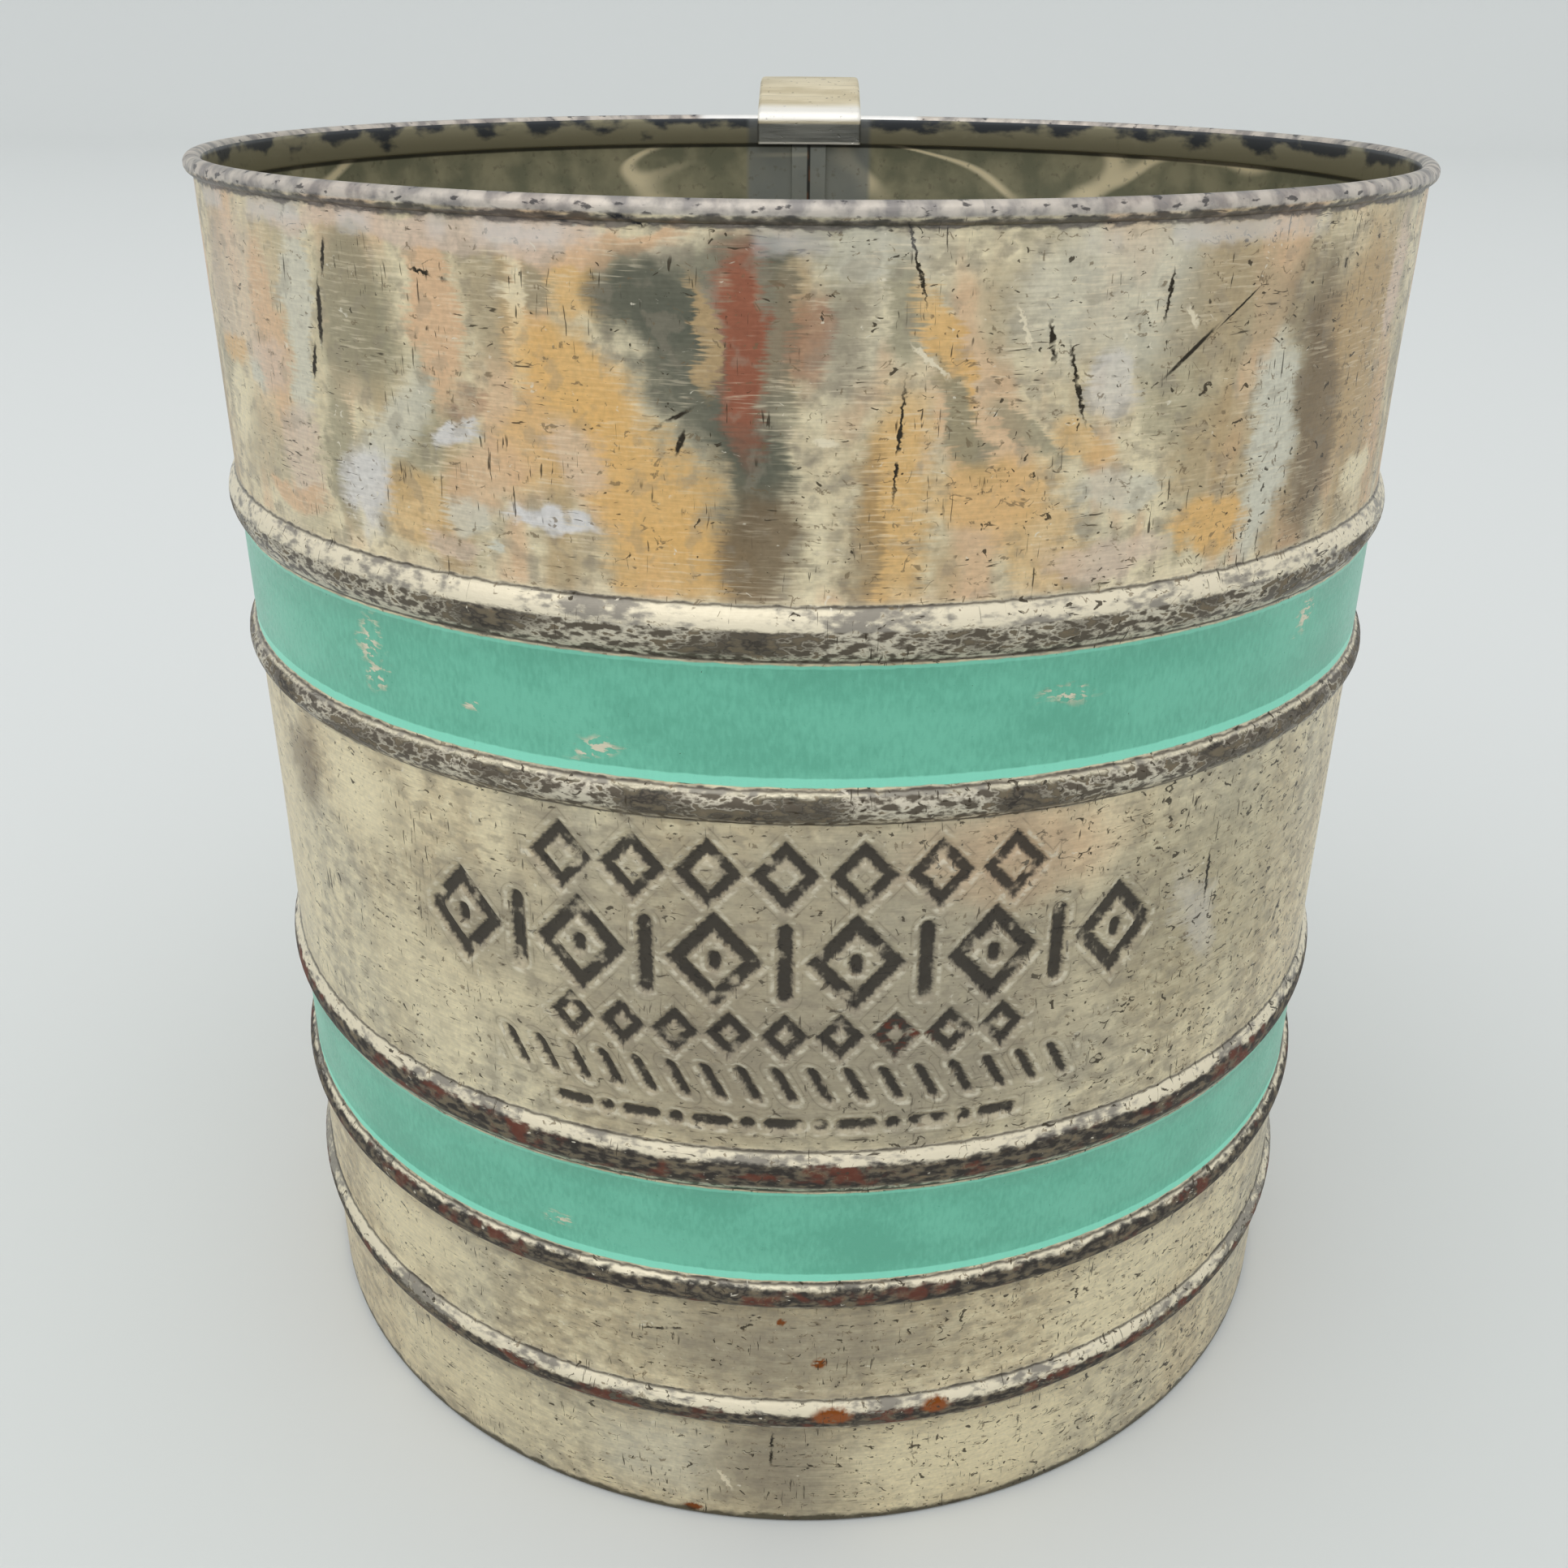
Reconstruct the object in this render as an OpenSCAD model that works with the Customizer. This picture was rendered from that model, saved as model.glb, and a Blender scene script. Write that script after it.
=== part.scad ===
// Squeeze-handle flour sifter with three screens. Millimetres, +Z up. The handle stands
// at the back, on +Y. The origin is at the level of the foot, under the middle of the
// tin and its handle together; modules are drawn round the tin's own axis.

/* [Tin body] */
// Outside radius of the plain wall
body_r = 64; // [58:0.5:72]
// Height of the tin without the handle
body_h = 137.4; // [134:0.2:160]
// Thickness of the tinplate
sheet = 0.5; // [0.4:0.05:0.6]
// Depth of the hem folded in under the rim
hem_depth = 3.8; // [3:0.2:8]
// Radius of the rolled rim edge
rim_r = 1.15; // [1:0.05:1.4]
// How far the rolled rim stands out from the wall
rim_out = 0.8; // [0.5:0.05:1]
// Height of the hem folded in at the foot
foot_hem_h = 4; // [3:0.5:4.5]
// Width of the lock seam down the inside of the back
seam_w = 5; // [4:0.5:6.5]

/* [Beads and enamel bands] */
// Height of an enamel band
band_h = 11.2; // [10.5:0.1:12]
// Lower edge of the upper enamel band
upper_band_z = 90; // [88:0.5:93]
// Lower edge of the lower enamel band
lower_band_z = 34.8; // [34:0.2:38]
// Height of the broad bead above each band
broad_bead_h = 5; // [4.6:0.1:5.6]
// Height of the narrow bead below each band
narrow_bead_h = 3.4; // [3.2:0.1:3.8]
// Height of the bead on the skirt
skirt_bead_h = 4.2; // [3.6:0.1:4.6]
// Middle of the bead on the skirt
skirt_bead_z = 16.4; // [15.8:0.1:16.6]
// How far a bead stands out from the wall
bead_out = 1; // [0.8:0.05:1.2]
// Plain strip between a band and its beads
bead_gap = 0.2; // [0.1:0.05:0.4]

/* [Screens] */
// Thickness of the woven screen
mesh_t = 0.6; // [0.5:0.05:0.7]
// Spacing of the bars that stand for the weave
mesh_pitch = 6.3; // [6.2:0.1:8]
// Width of a bar of the weave
mesh_bar = 1.2; // [0.8:0.1:1.6]
// Height of a screen's rim
ring_h = 1.9; // [1.7:0.1:2]
// Width of a screen's rim
ring_w = 3.8; // [3:0.1:5]
// How far a screen's rim reaches into its bead
ring_seat = 0.3; // [0.2:0.05:0.35]
// Radius of an eyelet's flange
eyelet_flange_r = 5.5; // [5:0.1:6.5]
// Thickness of an eyelet's flange
eyelet_flange_t = 0.6; // [0.5:0.1:0.8]
// Wall of an eyelet's neck
eyelet_wall = 1; // [0.8:0.1:1.3]

/* [Agitator] */
// Radius of the upright shaft
shaft_r = 2.2; // [2:0.1:2.5]
// Radius of an agitator's hub
hub_r = 4.5; // [4.2:0.1:5.5]
// Height of an agitator's hub
hub_h = 4.2; // [4:0.1:5]
// Width of an agitator's wing
wing_w = 6; // [5:0.5:8]
// Thickness of an agitator's wing
wing_t = 0.8; // [0.6:0.1:0.9]
// Depth of the scraping lip under a wing
lip_h = 3; // [2.5:0.1:3.2]
// Distance from the shaft to the crank peg's line
crank_x = 13.4; // [12.5:0.1:15]
// Width of the crank arm
crank_w = 8; // [7:0.5:9]
// Thickness of the crank arm
crank_t = 1.2; // [1:0.1:1.4]
// Radius of the nut on top of the shaft
cap_r = 4.5; // [4:0.1:5]
// Height of the nut on top of the shaft
cap_h = 4; // [3.5:0.1:5]

/* [Bridge] */
// Width of the bridge under the lowest screen
bridge_w = 12; // [11:0.5:16]
// Thickness of the bridge
bridge_t = 1; // [0.8:0.1:1.2]
// Height of the bridge's turned-down ends
bridge_tab_h = 5; // [4:0.1:5.3]
// Top face of the bridge
bridge_z = 10.2; // [10:0.1:10.8]
// Radius of the collar under the bridge
collar_r = 4.6; // [4:0.1:5.5]
// Height of the collar under the bridge
collar_h = 2; // [1.5:0.1:2.5]

/* [Handle] */
// Width of the handle strap
strap_w = 15; // [14.8:0.1:18]
// Thickness of the strap's single sheet
strap_t = 0.6; // [0.5:0.05:0.8]
// Width of the hem along each edge of the strap
strap_hem_w = 3; // [2.5:0.1:3.4]
// Distance from the wall to the outside of the strap
strap_reach = 50; // [49:0.5:56]
// Outside radius of the upper bend of the strap
upper_bend_r = 32; // [28:0.5:34]
// Outside radius of the lower bend of the strap
lower_bend_r = 30; // [28:0.5:32]
// Slope of the strap as it leaves the rim, in degrees
strap_rise = 16; // [12:0.5:20]
// Length of the tab folded down inside the hem
tab_h = 3; // [2.6:0.2:9]
// Height of the foot that sits on the wall
foot_h = 10; // [8:0.5:10.5]
// Radius of the rivets through the foot
rivet_r = 1.5; // [1.2:0.1:1.8]
// Distance between the two rivets
rivet_spacing = 9.4; // [9:0.1:10]

/* [Squeeze lever] */
// Clear gap between the wall and the lever at the rod
finger_gap = 19.4; // [18:0.2:21]
// Width of the lever
lever_w = 12; // [11.6:0.1:12.4]
// Thickness of the lever's sheet
lever_t = 0.8; // [0.7:0.05:0.9]
// Outside radius of the lever's rounded ends
lever_r = 4.6; // [4.4:0.1:5]
// Depth of the lever's sides behind its pins
lever_side = 3.4; // [3:0.1:4]
// Length of the lever above the rod pin
lever_top = 3.4; // [3:0.1:8]
// Height of the lever's pivot above the tin's foot
pivot_z = 40; // [39:0.2:42]
// Distance from the wall to the lever's pivot
pivot_reach = 28.5; // [28:0.1:29.5]
// Radius of the pivot pin
pivot_pin_r = 1.5; // [1.3:0.05:1.7]
// Radius of the rod pin
rod_pin_r = 1.4; // [1.2:0.05:1.5]
// Thickness of the pivot bracket
bracket_t = 0.9; // [0.8:0.05:1]
// Radius of the bracket's ears
bracket_ear_r = 4; // [3.6:0.1:4.4]
// Thickness of a pin's head
pin_head_t = 0.6; // [0.4:0.1:0.8]

/* [Rod and spring] */
// Radius of the push rod's wire
rod_r = 1.2; // [1:0.05:1.3]
// Where the rod's straight stretch ends inside the tin
rod_jog_y = 42; // [38:0.5:46]
// Length of the rod's jog along the tin
rod_jog_len = 20; // [16:0.5:24]
// Radius of the rod's flattened eye
rod_eye_r = 3.2; // [2.9:0.1:3.4]
// Width of the rod's flattened eye
rod_eye_w = 2.6; // [2.2:0.1:4]
// How far the rod moves when the lever is squeezed
rod_stroke = 12; // [11:0.1:12.2]
// Height of the spring above the lever's pivot
spring_up = 34; // [30:0.5:36]
// Mean radius of the spring
spring_coil_r = 4.2; // [4:0.05:4.5]
// Radius of the spring's wire
spring_wire_r = 0.45; // [0.4:0.05:0.5]
// Number of turns in the spring
spring_turns = 8; // [6:1:9]
// Radius of the post inside the spring
post_r = 2.8; // [2.4:0.1:3]
// Length of the post inside the spring
post_len = 8; // [6:0.5:10]
// Thickness of the post's riveted head behind the strap
post_head_t = 0.8; // [0.6:0.1:1.2]

/* [Clearances] */
// Radial clearance of a running fit
run_gap = 0.05; // [0.03:0.01:0.08]
// Gap between parts that pass each other
part_gap = 0.4; // [0.3:0.05:0.5]

/* [Hidden] */
$fn = 96;

tin = [0.72, 0.67, 0.58];
bright_tin = [0.78, 0.75, 0.68];
steel = [0.55, 0.55, 0.54];
inner_r = body_r - sheet;
hem_in_r = inner_r - sheet;
rim_x = body_r + rim_out - rim_r;
rim_z = body_h - rim_r;

// Beads as [middle height, height]
bead_a = [upper_band_z + band_h + bead_gap + broad_bead_h / 2, broad_bead_h];
bead_b = [upper_band_z - bead_gap - narrow_bead_h / 2, narrow_bead_h];
bead_c = [lower_band_z + band_h + bead_gap + broad_bead_h / 2, broad_bead_h];
bead_d = [lower_band_z - bead_gap - narrow_bead_h / 2, narrow_bead_h];
bead_e = [skirt_bead_z, skirt_bead_h];
beads = [bead_a, bead_b, bead_c, bead_d, bead_e];

// Each screen sits in a bead
top_z = bead_b[0];
middle_z = bead_c[0];
bottom_z = bead_e[0];
ring_r = inner_r + ring_seat;
ring_in_r = ring_r - ring_w;
mesh_r = ring_r - ring_w / 4;
mesh_open_r = ring_in_r - mesh_bar / 2;
eyelet_neck_r = shaft_r + run_gap + eyelet_wall;

// Heights on the shaft, counted from the middle of a screen
hub_up = mesh_t / 2 + eyelet_flange_t + part_gap;
lip_up = mesh_t / 2 + part_gap;
wing_up = lip_up + lip_h;
wing_r = ring_in_r - 2 * part_gap;
crank_z = top_z + hub_up + hub_h + 2 * part_gap;
rod_z = crank_z + crank_t + 2 * part_gap + rod_r;

// Crank slot: the peg stays on one line while the arm turns under it
peg_y = -rod_stroke / 2;
crank_rest = atan2(peg_y, crank_x);
peg_far = norm([crank_x, peg_y]);
slot_r = rod_r + part_gap;
crank_hub_r = hub_r + 1;
crank_len = peg_far + slot_r + 2;

// Handle strap
hem_t = 2 * strap_t;
strap_y = body_r + strap_reach;
upper_y = strap_y - upper_bend_r;
lower_y = strap_y - lower_bend_r;
rise_n = [-sin(strap_rise), cos(strap_rise)];
rim_bend_r = rim_r + strap_t;
upper_z = (rise_n * [rim_x, rim_z] + rim_bend_r - upper_bend_r - rise_n[0] * upper_y) / rise_n[1];
strap_low = bead_d[0] - bead_d[1] / 2 - bead_gap - hem_t;
lower_z = strap_low + lower_bend_r;
foot_z = strap_low + strap_t - foot_h;
rivet_z = foot_z + foot_h * 0.45;
rivet_turn = asin(rivet_spacing / 2 / body_r);

// Squeeze lever, leaning towards the tin at rest
pivot_y = body_r + pivot_reach;
rod_pin_y = body_r + finger_gap + lever_r;
lever_len = norm([pivot_y - rod_pin_y, rod_z - pivot_z]);
lever_lean = atan2(pivot_y - rod_pin_y, rod_z - pivot_z);
bracket_in = lever_w / 2 + part_gap;
bracket_r = lower_bend_r - hem_t;
spring_z = pivot_z + spring_up;

// Middle of the whole from front to back, where the origin is
middle_y = (strap_y + post_head_t - body_r - bead_out) / 2;

// Spring runs from the lever's web to the strap
web_y = pivot_y - spring_up * tan(lever_lean) - (lever_r - lever_t) / cos(lever_lean);
spring_y0 = web_y + spring_wire_r + part_gap + spring_coil_r * tan(lever_lean);
spring_y1 = strap_y - strap_t - spring_wire_r - part_gap / 2;

// Moves what is drawn round the tin's axis to its place in the model's frame
module stand() {
    translate([0, -middle_y, 0]) children();
}

// Square tilting of a profile drawn as (y, z) into the plane of the handle
module side_on(width) {
    rotate([90, 0, 90]) translate([0, 0, -width / 2]) linear_extrude(width) children();
}

module ring_sector(centre, r_out, t, a0, a1) {
    reach = 3 * r_out;
    mid = (a0 + a1) / 2;
    translate(centre) intersection() {
        difference() {
            circle(r_out);
            circle(r_out - t);
        }
        polygon([[0, 0], reach * [cos(a0), sin(a0)], reach * [cos(mid), sin(mid)],
            reach * [cos(a1), sin(a1)]]);
    }
}

// Circle that bulges a bead of this size out of the wall
function bulge_r(bead) = (pow(bead_out, 2) + pow(bead[1] / 2, 2)) / (2 * bead_out);

module wall_profile() {
    difference() {
        union() {
            translate([inner_r, 0]) square([sheet, rim_z]);
            translate([hem_in_r, 0]) square([sheet, foot_hem_h]);
            translate([hem_in_r, body_h - hem_depth]) square([sheet, hem_depth - rim_r]);
            translate([rim_x, rim_z]) circle(rim_r, $fn = 48);
            for (b = beads)
                intersection() {
                    translate([body_r + bead_out - bulge_r(b), b[0]]) circle(bulge_r(b));
                    translate([inner_r, b[0] - b[1] / 2]) square([2 * bead_out, b[1]]);
                }
        }
        for (b = beads)
            translate([body_r + bead_out - bulge_r(b), b[0]]) circle(bulge_r(b) - sheet);
    }
}

// Lock seam: a flat strip inside the back, broken where a screen's rim passes
module lock_seam() {
    stops = [foot_hem_h, bottom_z - bead_e[1] / 2, bottom_z + bead_e[1] / 2,
        middle_z - bead_c[1] / 2, middle_z + bead_c[1] / 2,
        top_z - bead_b[1] / 2, top_z + bead_b[1] / 2, body_h - hem_depth];
    for (i = [0:2:6])
        intersection() {
            translate([0, 0, stops[i]]) difference() {
                cylinder(r = inner_r + sheet / 2, h = stops[i + 1] - stops[i]);
                translate([0, 0, -1]) cylinder(r = hem_in_r, h = body_h);
            }
            translate([-seam_w / 2, 0, 0]) cube([seam_w, body_r, body_h]);
        }
}

module rod_slot() {
    half = slot_r + part_gap;
    for (s = [-1, 1])
        translate([0, body_r - 8, rod_z + s * part_gap]) rotate([-90, 0, 0])
            cylinder(r = half, h = 12);
    translate([-half, body_r - 8, rod_z - part_gap]) cube([2 * half, 12, 2 * part_gap]);
}

module rivet_holes() {
    for (s = [-1, 1])
        rotate([0, 0, s * rivet_turn]) translate([0, body_r - 4, rivet_z]) rotate([-90, 0, 0])
            cylinder(r = rivet_r, h = 8);
}

module body_shell() {
    color(tin) difference() {
        union() {
            rotate_extrude($fn = 180) wall_profile();
            lock_seam();
        }
        rod_slot();
        rivet_holes();
    }
}

// Rolled channel that grips a screen's edge and sits in a bead
module screen_ring(z) {
    color(bright_tin) translate([0, 0, z]) rotate_extrude($fn = 180) difference() {
        translate([ring_in_r, -ring_h / 2]) square([ring_w, ring_h]);
        translate([ring_in_r - 1, -mesh_t / 2]) square([mesh_r - ring_in_r + 1, mesh_t]);
    }
}

// Open squares of the weave, kept clear of the rim and the eyelet
module screen_mesh(z) {
    gap = mesh_pitch - mesh_bar;
    last = ceil(mesh_open_r / mesh_pitch);
    color(steel) translate([0, 0, z - mesh_t / 2]) linear_extrude(mesh_t) difference() {
        circle(mesh_r);
        circle(eyelet_neck_r);
        for (i = [-last:last], j = [-last:last]) {
            far = norm([abs(i) * mesh_pitch + gap / 2, abs(j) * mesh_pitch + gap / 2]);
            near = norm([max(abs(i) * mesh_pitch - gap / 2, 0), max(abs(j) * mesh_pitch - gap / 2, 0)]);
            if (far < mesh_open_r && near > eyelet_flange_r)
                translate([i * mesh_pitch, j * mesh_pitch]) square(gap, center = true);
        }
    }
}

module eyelet(z) {
    color(bright_tin) translate([0, 0, z]) difference() {
        union() {
            cylinder(r = eyelet_neck_r, h = mesh_t + eyelet_flange_t, center = true);
            for (s = [-1, 1])
                translate([0, 0, s * (mesh_t + eyelet_flange_t) / 2])
                    cylinder(r = eyelet_flange_r, h = eyelet_flange_t, center = true);
        }
        cylinder(r = shaft_r + run_gap, h = 10, center = true);
    }
}

// Flat bar across the tin, with ends turned down against the wall
module bearing_bridge() {
    color(bright_tin) difference() {
        intersection() {
            union() {
                translate([-body_r, -bridge_w / 2, bridge_z - bridge_t])
                    cube([2 * body_r, bridge_w, bridge_t]);
                difference() {
                    translate([-body_r, -bridge_w / 2, bridge_z - bridge_tab_h])
                        cube([2 * body_r, bridge_w, bridge_tab_h]);
                    cylinder(r = inner_r - bridge_t, h = body_h);
                }
            }
            cylinder(r = inner_r, h = body_h);
        }
        cylinder(r = shaft_r + run_gap, h = body_h);
    }
}

module agitator_shaft() {
    low = bridge_z - bridge_t - part_gap - collar_h;
    color(steel) translate([0, 0, low]) cylinder(r = shaft_r, h = crank_z + crank_t + cap_h / 2 - low);
}

module shaft_collar() {
    color(steel) translate([0, 0, bridge_z - bridge_t - part_gap - collar_h]) difference() {
        cylinder(r = collar_r, h = collar_h);
        translate([0, 0, -1]) cylinder(r = shaft_r, h = collar_h + 2);
    }
}

// One tin wing: a flat arm with a scraping lip turned down along its leading edge
module wing() {
    translate([0, -wing_w / 2, wing_up]) cube([wing_r, wing_w, wing_t]);
    translate([eyelet_flange_r + 1, -wing_w / 2, lip_up])
        cube([wing_r - eyelet_flange_r - 1, wing_t, lip_h + wing_t / 2]);
}

module agitator(z, turn) {
    color(tin) translate([0, 0, z]) difference() {
        union() {
            intersection() {
                rotate([0, 0, turn]) for (a = [0:90:270]) rotate([0, 0, a]) wing();
                cylinder(r = wing_r, h = 10);
            }
            translate([0, 0, hub_up]) cylinder(r = hub_r, h = hub_h);
        }
        cylinder(r = shaft_r, h = 20);
    }
}

module crank_arm() {
    color(steel) translate([0, 0, crank_z]) rotate([0, 0, crank_rest]) difference() {
        union() {
            cylinder(r = crank_hub_r, h = crank_t);
            translate([0, -crank_w / 2, 0]) cube([crank_len - crank_w / 2, crank_w, crank_t]);
            translate([crank_len - crank_w / 2, 0, 0]) cylinder(r = crank_w / 2, h = crank_t);
            translate([0, 0, -2 * part_gap]) cylinder(r = hub_r, h = 2 * part_gap);
        }
        translate([0, 0, -2]) cylinder(r = shaft_r, h = 5);
        for (r = [crank_x, peg_far])
            translate([r, 0, -1]) cylinder(r = slot_r, h = 3);
        translate([crank_x, -slot_r, -1]) cube([peg_far - crank_x, 2 * slot_r, 3]);
    }
}

module shaft_nut() {
    color(bright_tin) translate([0, 0, crank_z + crank_t]) difference() {
        rotate_extrude() intersection() {
            square([cap_r, cap_h]);
            translate([0, cap_h - 1.6 * cap_r]) circle(1.6 * cap_r);
        }
        translate([0, 0, -1]) cylinder(r = shaft_r, h = cap_h / 2 + 1);
    }
}

module wedge(centre, r, a0, a1) {
    mid = (a0 + a1) / 2;
    intersection() {
        translate(centre) circle(r);
        translate(centre) polygon([[0, 0], 3 * r * [cos(a0), sin(a0)], 3 * r * [cos(mid), sin(mid)],
            3 * r * [cos(a1), sin(a1)]]);
    }
}

// Everything that the strap encloses as seen from the side, drawn in by some inset
module strap_fill(inset) {
    left = body_r - 1.5;
    a = [rim_x, rim_z] + rim_bend_r * rise_n;
    b = [upper_y, upper_z] + upper_bend_r * rise_n;
    wedge([upper_y, upper_z], upper_bend_r - inset, 0, 90 + strap_rise);
    wedge([lower_y, lower_z], lower_bend_r - inset, -90, 0);
    polygon([a - inset * rise_n, b - inset * rise_n, [strap_y - inset, upper_z],
        [strap_y - inset, lower_z], [lower_y, strap_low + inset], [left, strap_low + inset],
        [left, strap_low + 2 * foot_h], a - 5 * rise_n]);
}

module strap_path(t) {
    difference() {
        strap_fill(0);
        strap_fill(t);
    }
}

module handle_strap() {
    edge = strap_w / 2 - strap_hem_w / 2;
    color(bright_tin) difference() {
        union() {
            side_on(strap_w) strap_path(strap_t);
            side_on(strap_w) ring_sector([rim_x, rim_z], rim_bend_r, strap_t + 0.4, 90 + strap_rise, 181);
            for (s = [-1, 1]) translate([s * edge, 0, 0]) side_on(strap_hem_w) difference() {
                strap_path(hem_t);
                translate([body_r - 5, body_h - 5]) square([5 + 2 * rim_out, 10]);
            }
            intersection() {
                difference() {
                    cylinder(r = rim_x - rim_r, h = rim_z);
                    translate([0, 0, -1]) cylinder(r = rim_x - rim_bend_r, h = body_h);
                }
                translate([-strap_w / 2, 0, rim_z - tab_h]) cube([strap_w, body_r, tab_h]);
            }
            intersection() {
                cylinder(r = body_r + strap_t, h = body_h);
                translate([-strap_w / 2, 0, foot_z]) cube([strap_w, body_r + strap_t, foot_h]);
            }
        }
        translate([0, 0, -1]) cylinder(r = body_r, h = body_h - hem_depth - 10);
        rotate_extrude($fn = 180) {
            translate([hem_in_r, body_h - hem_depth - 4]) square([1.5 * sheet, hem_depth + 4 - rim_r]);
            translate([rim_x, rim_z]) circle(rim_r, $fn = 48);
        }
        rivet_holes();
        translate([0, strap_y + 1, spring_z]) rotate([90, 0, 0]) cylinder(r = post_r / 2, h = hem_t + 2);
    }
}

module foot_rivets() {
    out = 2 * sheet + strap_t + 0.1;
    color(steel) for (s = [-1, 1])
        rotate([0, 0, s * rivet_turn]) translate([0, body_r, rivet_z]) rotate([-90, 0, 0]) {
            translate([0, 0, -sheet]) cylinder(r = rivet_r, h = out);
            translate([0, 0, strap_t]) difference() {
                translate([0, 0, -rivet_r]) sphere(r = 2 * rivet_r);
                translate([0, 0, -4 * rivet_r]) cylinder(r = 4 * rivet_r, h = 4 * rivet_r);
            }
        }
}

// Clip that stands on the strap's lower bend and holds the lever's pin
module pivot_bracket() {
    outer_w = 2 * (bracket_in + bracket_t);
    half_angle = 14;
    aim = atan2(pivot_z - lower_z, pivot_y - lower_y);
    color(steel) difference() {
        union() {
            side_on(outer_w) ring_sector([lower_y, lower_z], bracket_r, bracket_t,
                aim - half_angle / 2, aim + half_angle / 2);
            for (s = [-1, 1]) translate([s * (bracket_in + bracket_t / 2), 0, 0])
                side_on(bracket_t) intersection() {
                    union() {
                        translate([pivot_y, pivot_z]) circle(bracket_ear_r);
                        translate([pivot_y - bracket_ear_r, strap_low])
                            square([2 * bracket_ear_r, pivot_z - strap_low]);
                    }
                    translate([lower_y, lower_z]) circle(bracket_r);
                }
        }
        translate([-strap_w, pivot_y, pivot_z]) rotate([0, 90, 0]) cylinder(r = pivot_pin_r, h = 2 * strap_w);
    }
}

module cross_pin(r, half) {
    rotate([0, 90, 0]) cylinder(r = r, h = 2 * half, center = true);
    for (s = [-1, 1])
        translate([s * (half + pin_head_t / 2), 0, 0]) rotate([0, 90, 0])
            cylinder(r = 1.5 * r, h = pin_head_t, center = true);
}

module pivot_pin() {
    color(steel) translate([0, pivot_y, pivot_z]) cross_pin(pivot_pin_r, bracket_in + bracket_t);
}

// The lever's own frame has its pivot at the origin and the rod pin straight above
module in_lever() {
    translate([0, pivot_y, pivot_z]) rotate([lever_lean, 0, 0]) children();
}

module lever_outline(r) {
    circle(r);
    translate([-r, 0]) square([r, lever_len + lever_top]);
    translate([0, lever_len + lever_top]) circle(r);
    square([lever_side, lever_len + lever_top]);
}

module squeeze_lever() {
    slot_half = rod_r + 2 * part_gap;
    color(bright_tin) in_lever() difference() {
        side_on(lever_w) intersection() {
            lever_outline(lever_r);
            translate([-lever_r, -lever_r]) square([lever_r + lever_side, lever_len + lever_top + 2 * lever_r]);
        }
        side_on(lever_w - 2 * lever_t) union() {
            lever_outline(lever_r - lever_t);
            translate([0, -lever_r + lever_t]) square([2 * lever_r, lever_len + lever_top + 2 * (lever_r - lever_t)]);
        }
        rotate([0, 90, 0]) cylinder(r = pivot_pin_r + run_gap, h = 2 * lever_w, center = true);
        translate([0, 0, lever_len]) rotate([0, 90, 0]) cylinder(r = rod_pin_r, h = 2 * lever_w, center = true);
        for (s = [-1, 1])
            translate([0, 0, lever_len + s * 1.2]) rotate([90, 0, 0]) cylinder(r = slot_half, h = 2 * lever_r);
        translate([-slot_half, -2 * lever_r, lever_len - 1.2]) cube([2 * slot_half, 2 * lever_r, 2.4]);
    }
}

module rod_pin() {
    color(steel) in_lever() translate([0, 0, lever_len]) cross_pin(rod_pin_r, lever_w / 2);
}

// A straight stretch of wire with a knuckle, slightly fatter than the wire, at its far end
module wire(a, b, r) {
    d = b - a;
    knuckle = 1.04 * r;
    translate(a) rotate([0, acos(d[2] / norm(d)), atan2(d[1], d[0])]) cylinder(r = r, h = norm(d), $fn = 32);
    translate(b) sphere(r = knuckle, $fn = 32);
}

module push_rod() {
    peg_foot = crank_z - part_gap - rod_z;
    route = [[0, rod_pin_y - rod_eye_r + 0.4, 0], [0, rod_jog_y, 0],
        [crank_x, rod_jog_y - rod_jog_len, 0], [crank_x, peg_y, 0], [crank_x, peg_y, peg_foot]];
    color(steel) translate([0, 0, rod_z]) difference() {
        union() {
            for (i = [0:len(route) - 2]) wire(route[i], route[i + 1], rod_r);
            translate([0, rod_pin_y, 0]) rotate([0, 90, 0]) cylinder(r = rod_eye_r, h = rod_eye_w, center = true);
        }
        translate([0, rod_pin_y, 0]) rotate([0, 90, 0]) cylinder(r = rod_pin_r + run_gap, h = 20, center = true);
    }
}

module spring_post() {
    base = strap_y - strap_t;
    color(steel) {
        translate([0, base, spring_z]) rotate([90, 0, 0]) cylinder(r = post_r, h = post_len);
        translate([0, strap_y + post_head_t, spring_z]) rotate([90, 0, 0]) {
            cylinder(r = post_r / 2, h = strap_t + post_head_t + 0.1);
            cylinder(r = post_r, h = post_head_t);
        }
    }
}

// Spring as one tube swept along a helix, eight rings of six sides to a turn
ring_steps = 8;
ring_sides = 6;
ring_count = spring_turns * ring_steps + 1;
spring_len = spring_y1 - spring_y0;
function coil_point(i) = let (a = 360 * i / ring_steps, u = i / (ring_count - 1))
    [spring_coil_r * cos(a), spring_y0 + spring_len * u, spring_z + spring_coil_r * sin(a)];
function coil_ring(i) = let (a = 360 * i / ring_steps, out = [cos(a), 0, sin(a)])
    [for (k = [0:ring_sides - 1]) let (b = 360 * k / ring_sides)
        coil_point(i) + spring_wire_r * (cos(b) * out + [0, sin(b), 0])];
coil_pts = [for (i = [0:ring_count - 1]) coil_point(i)];
coil_gap = min([for (i = [0:ring_count - 1], j = [i + ring_steps - 2:1:ring_count - 1])
    norm(coil_pts[i] - coil_pts[j])]) - 2 * spring_wire_r;
echo(spring_least_gap = coil_gap);

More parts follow.
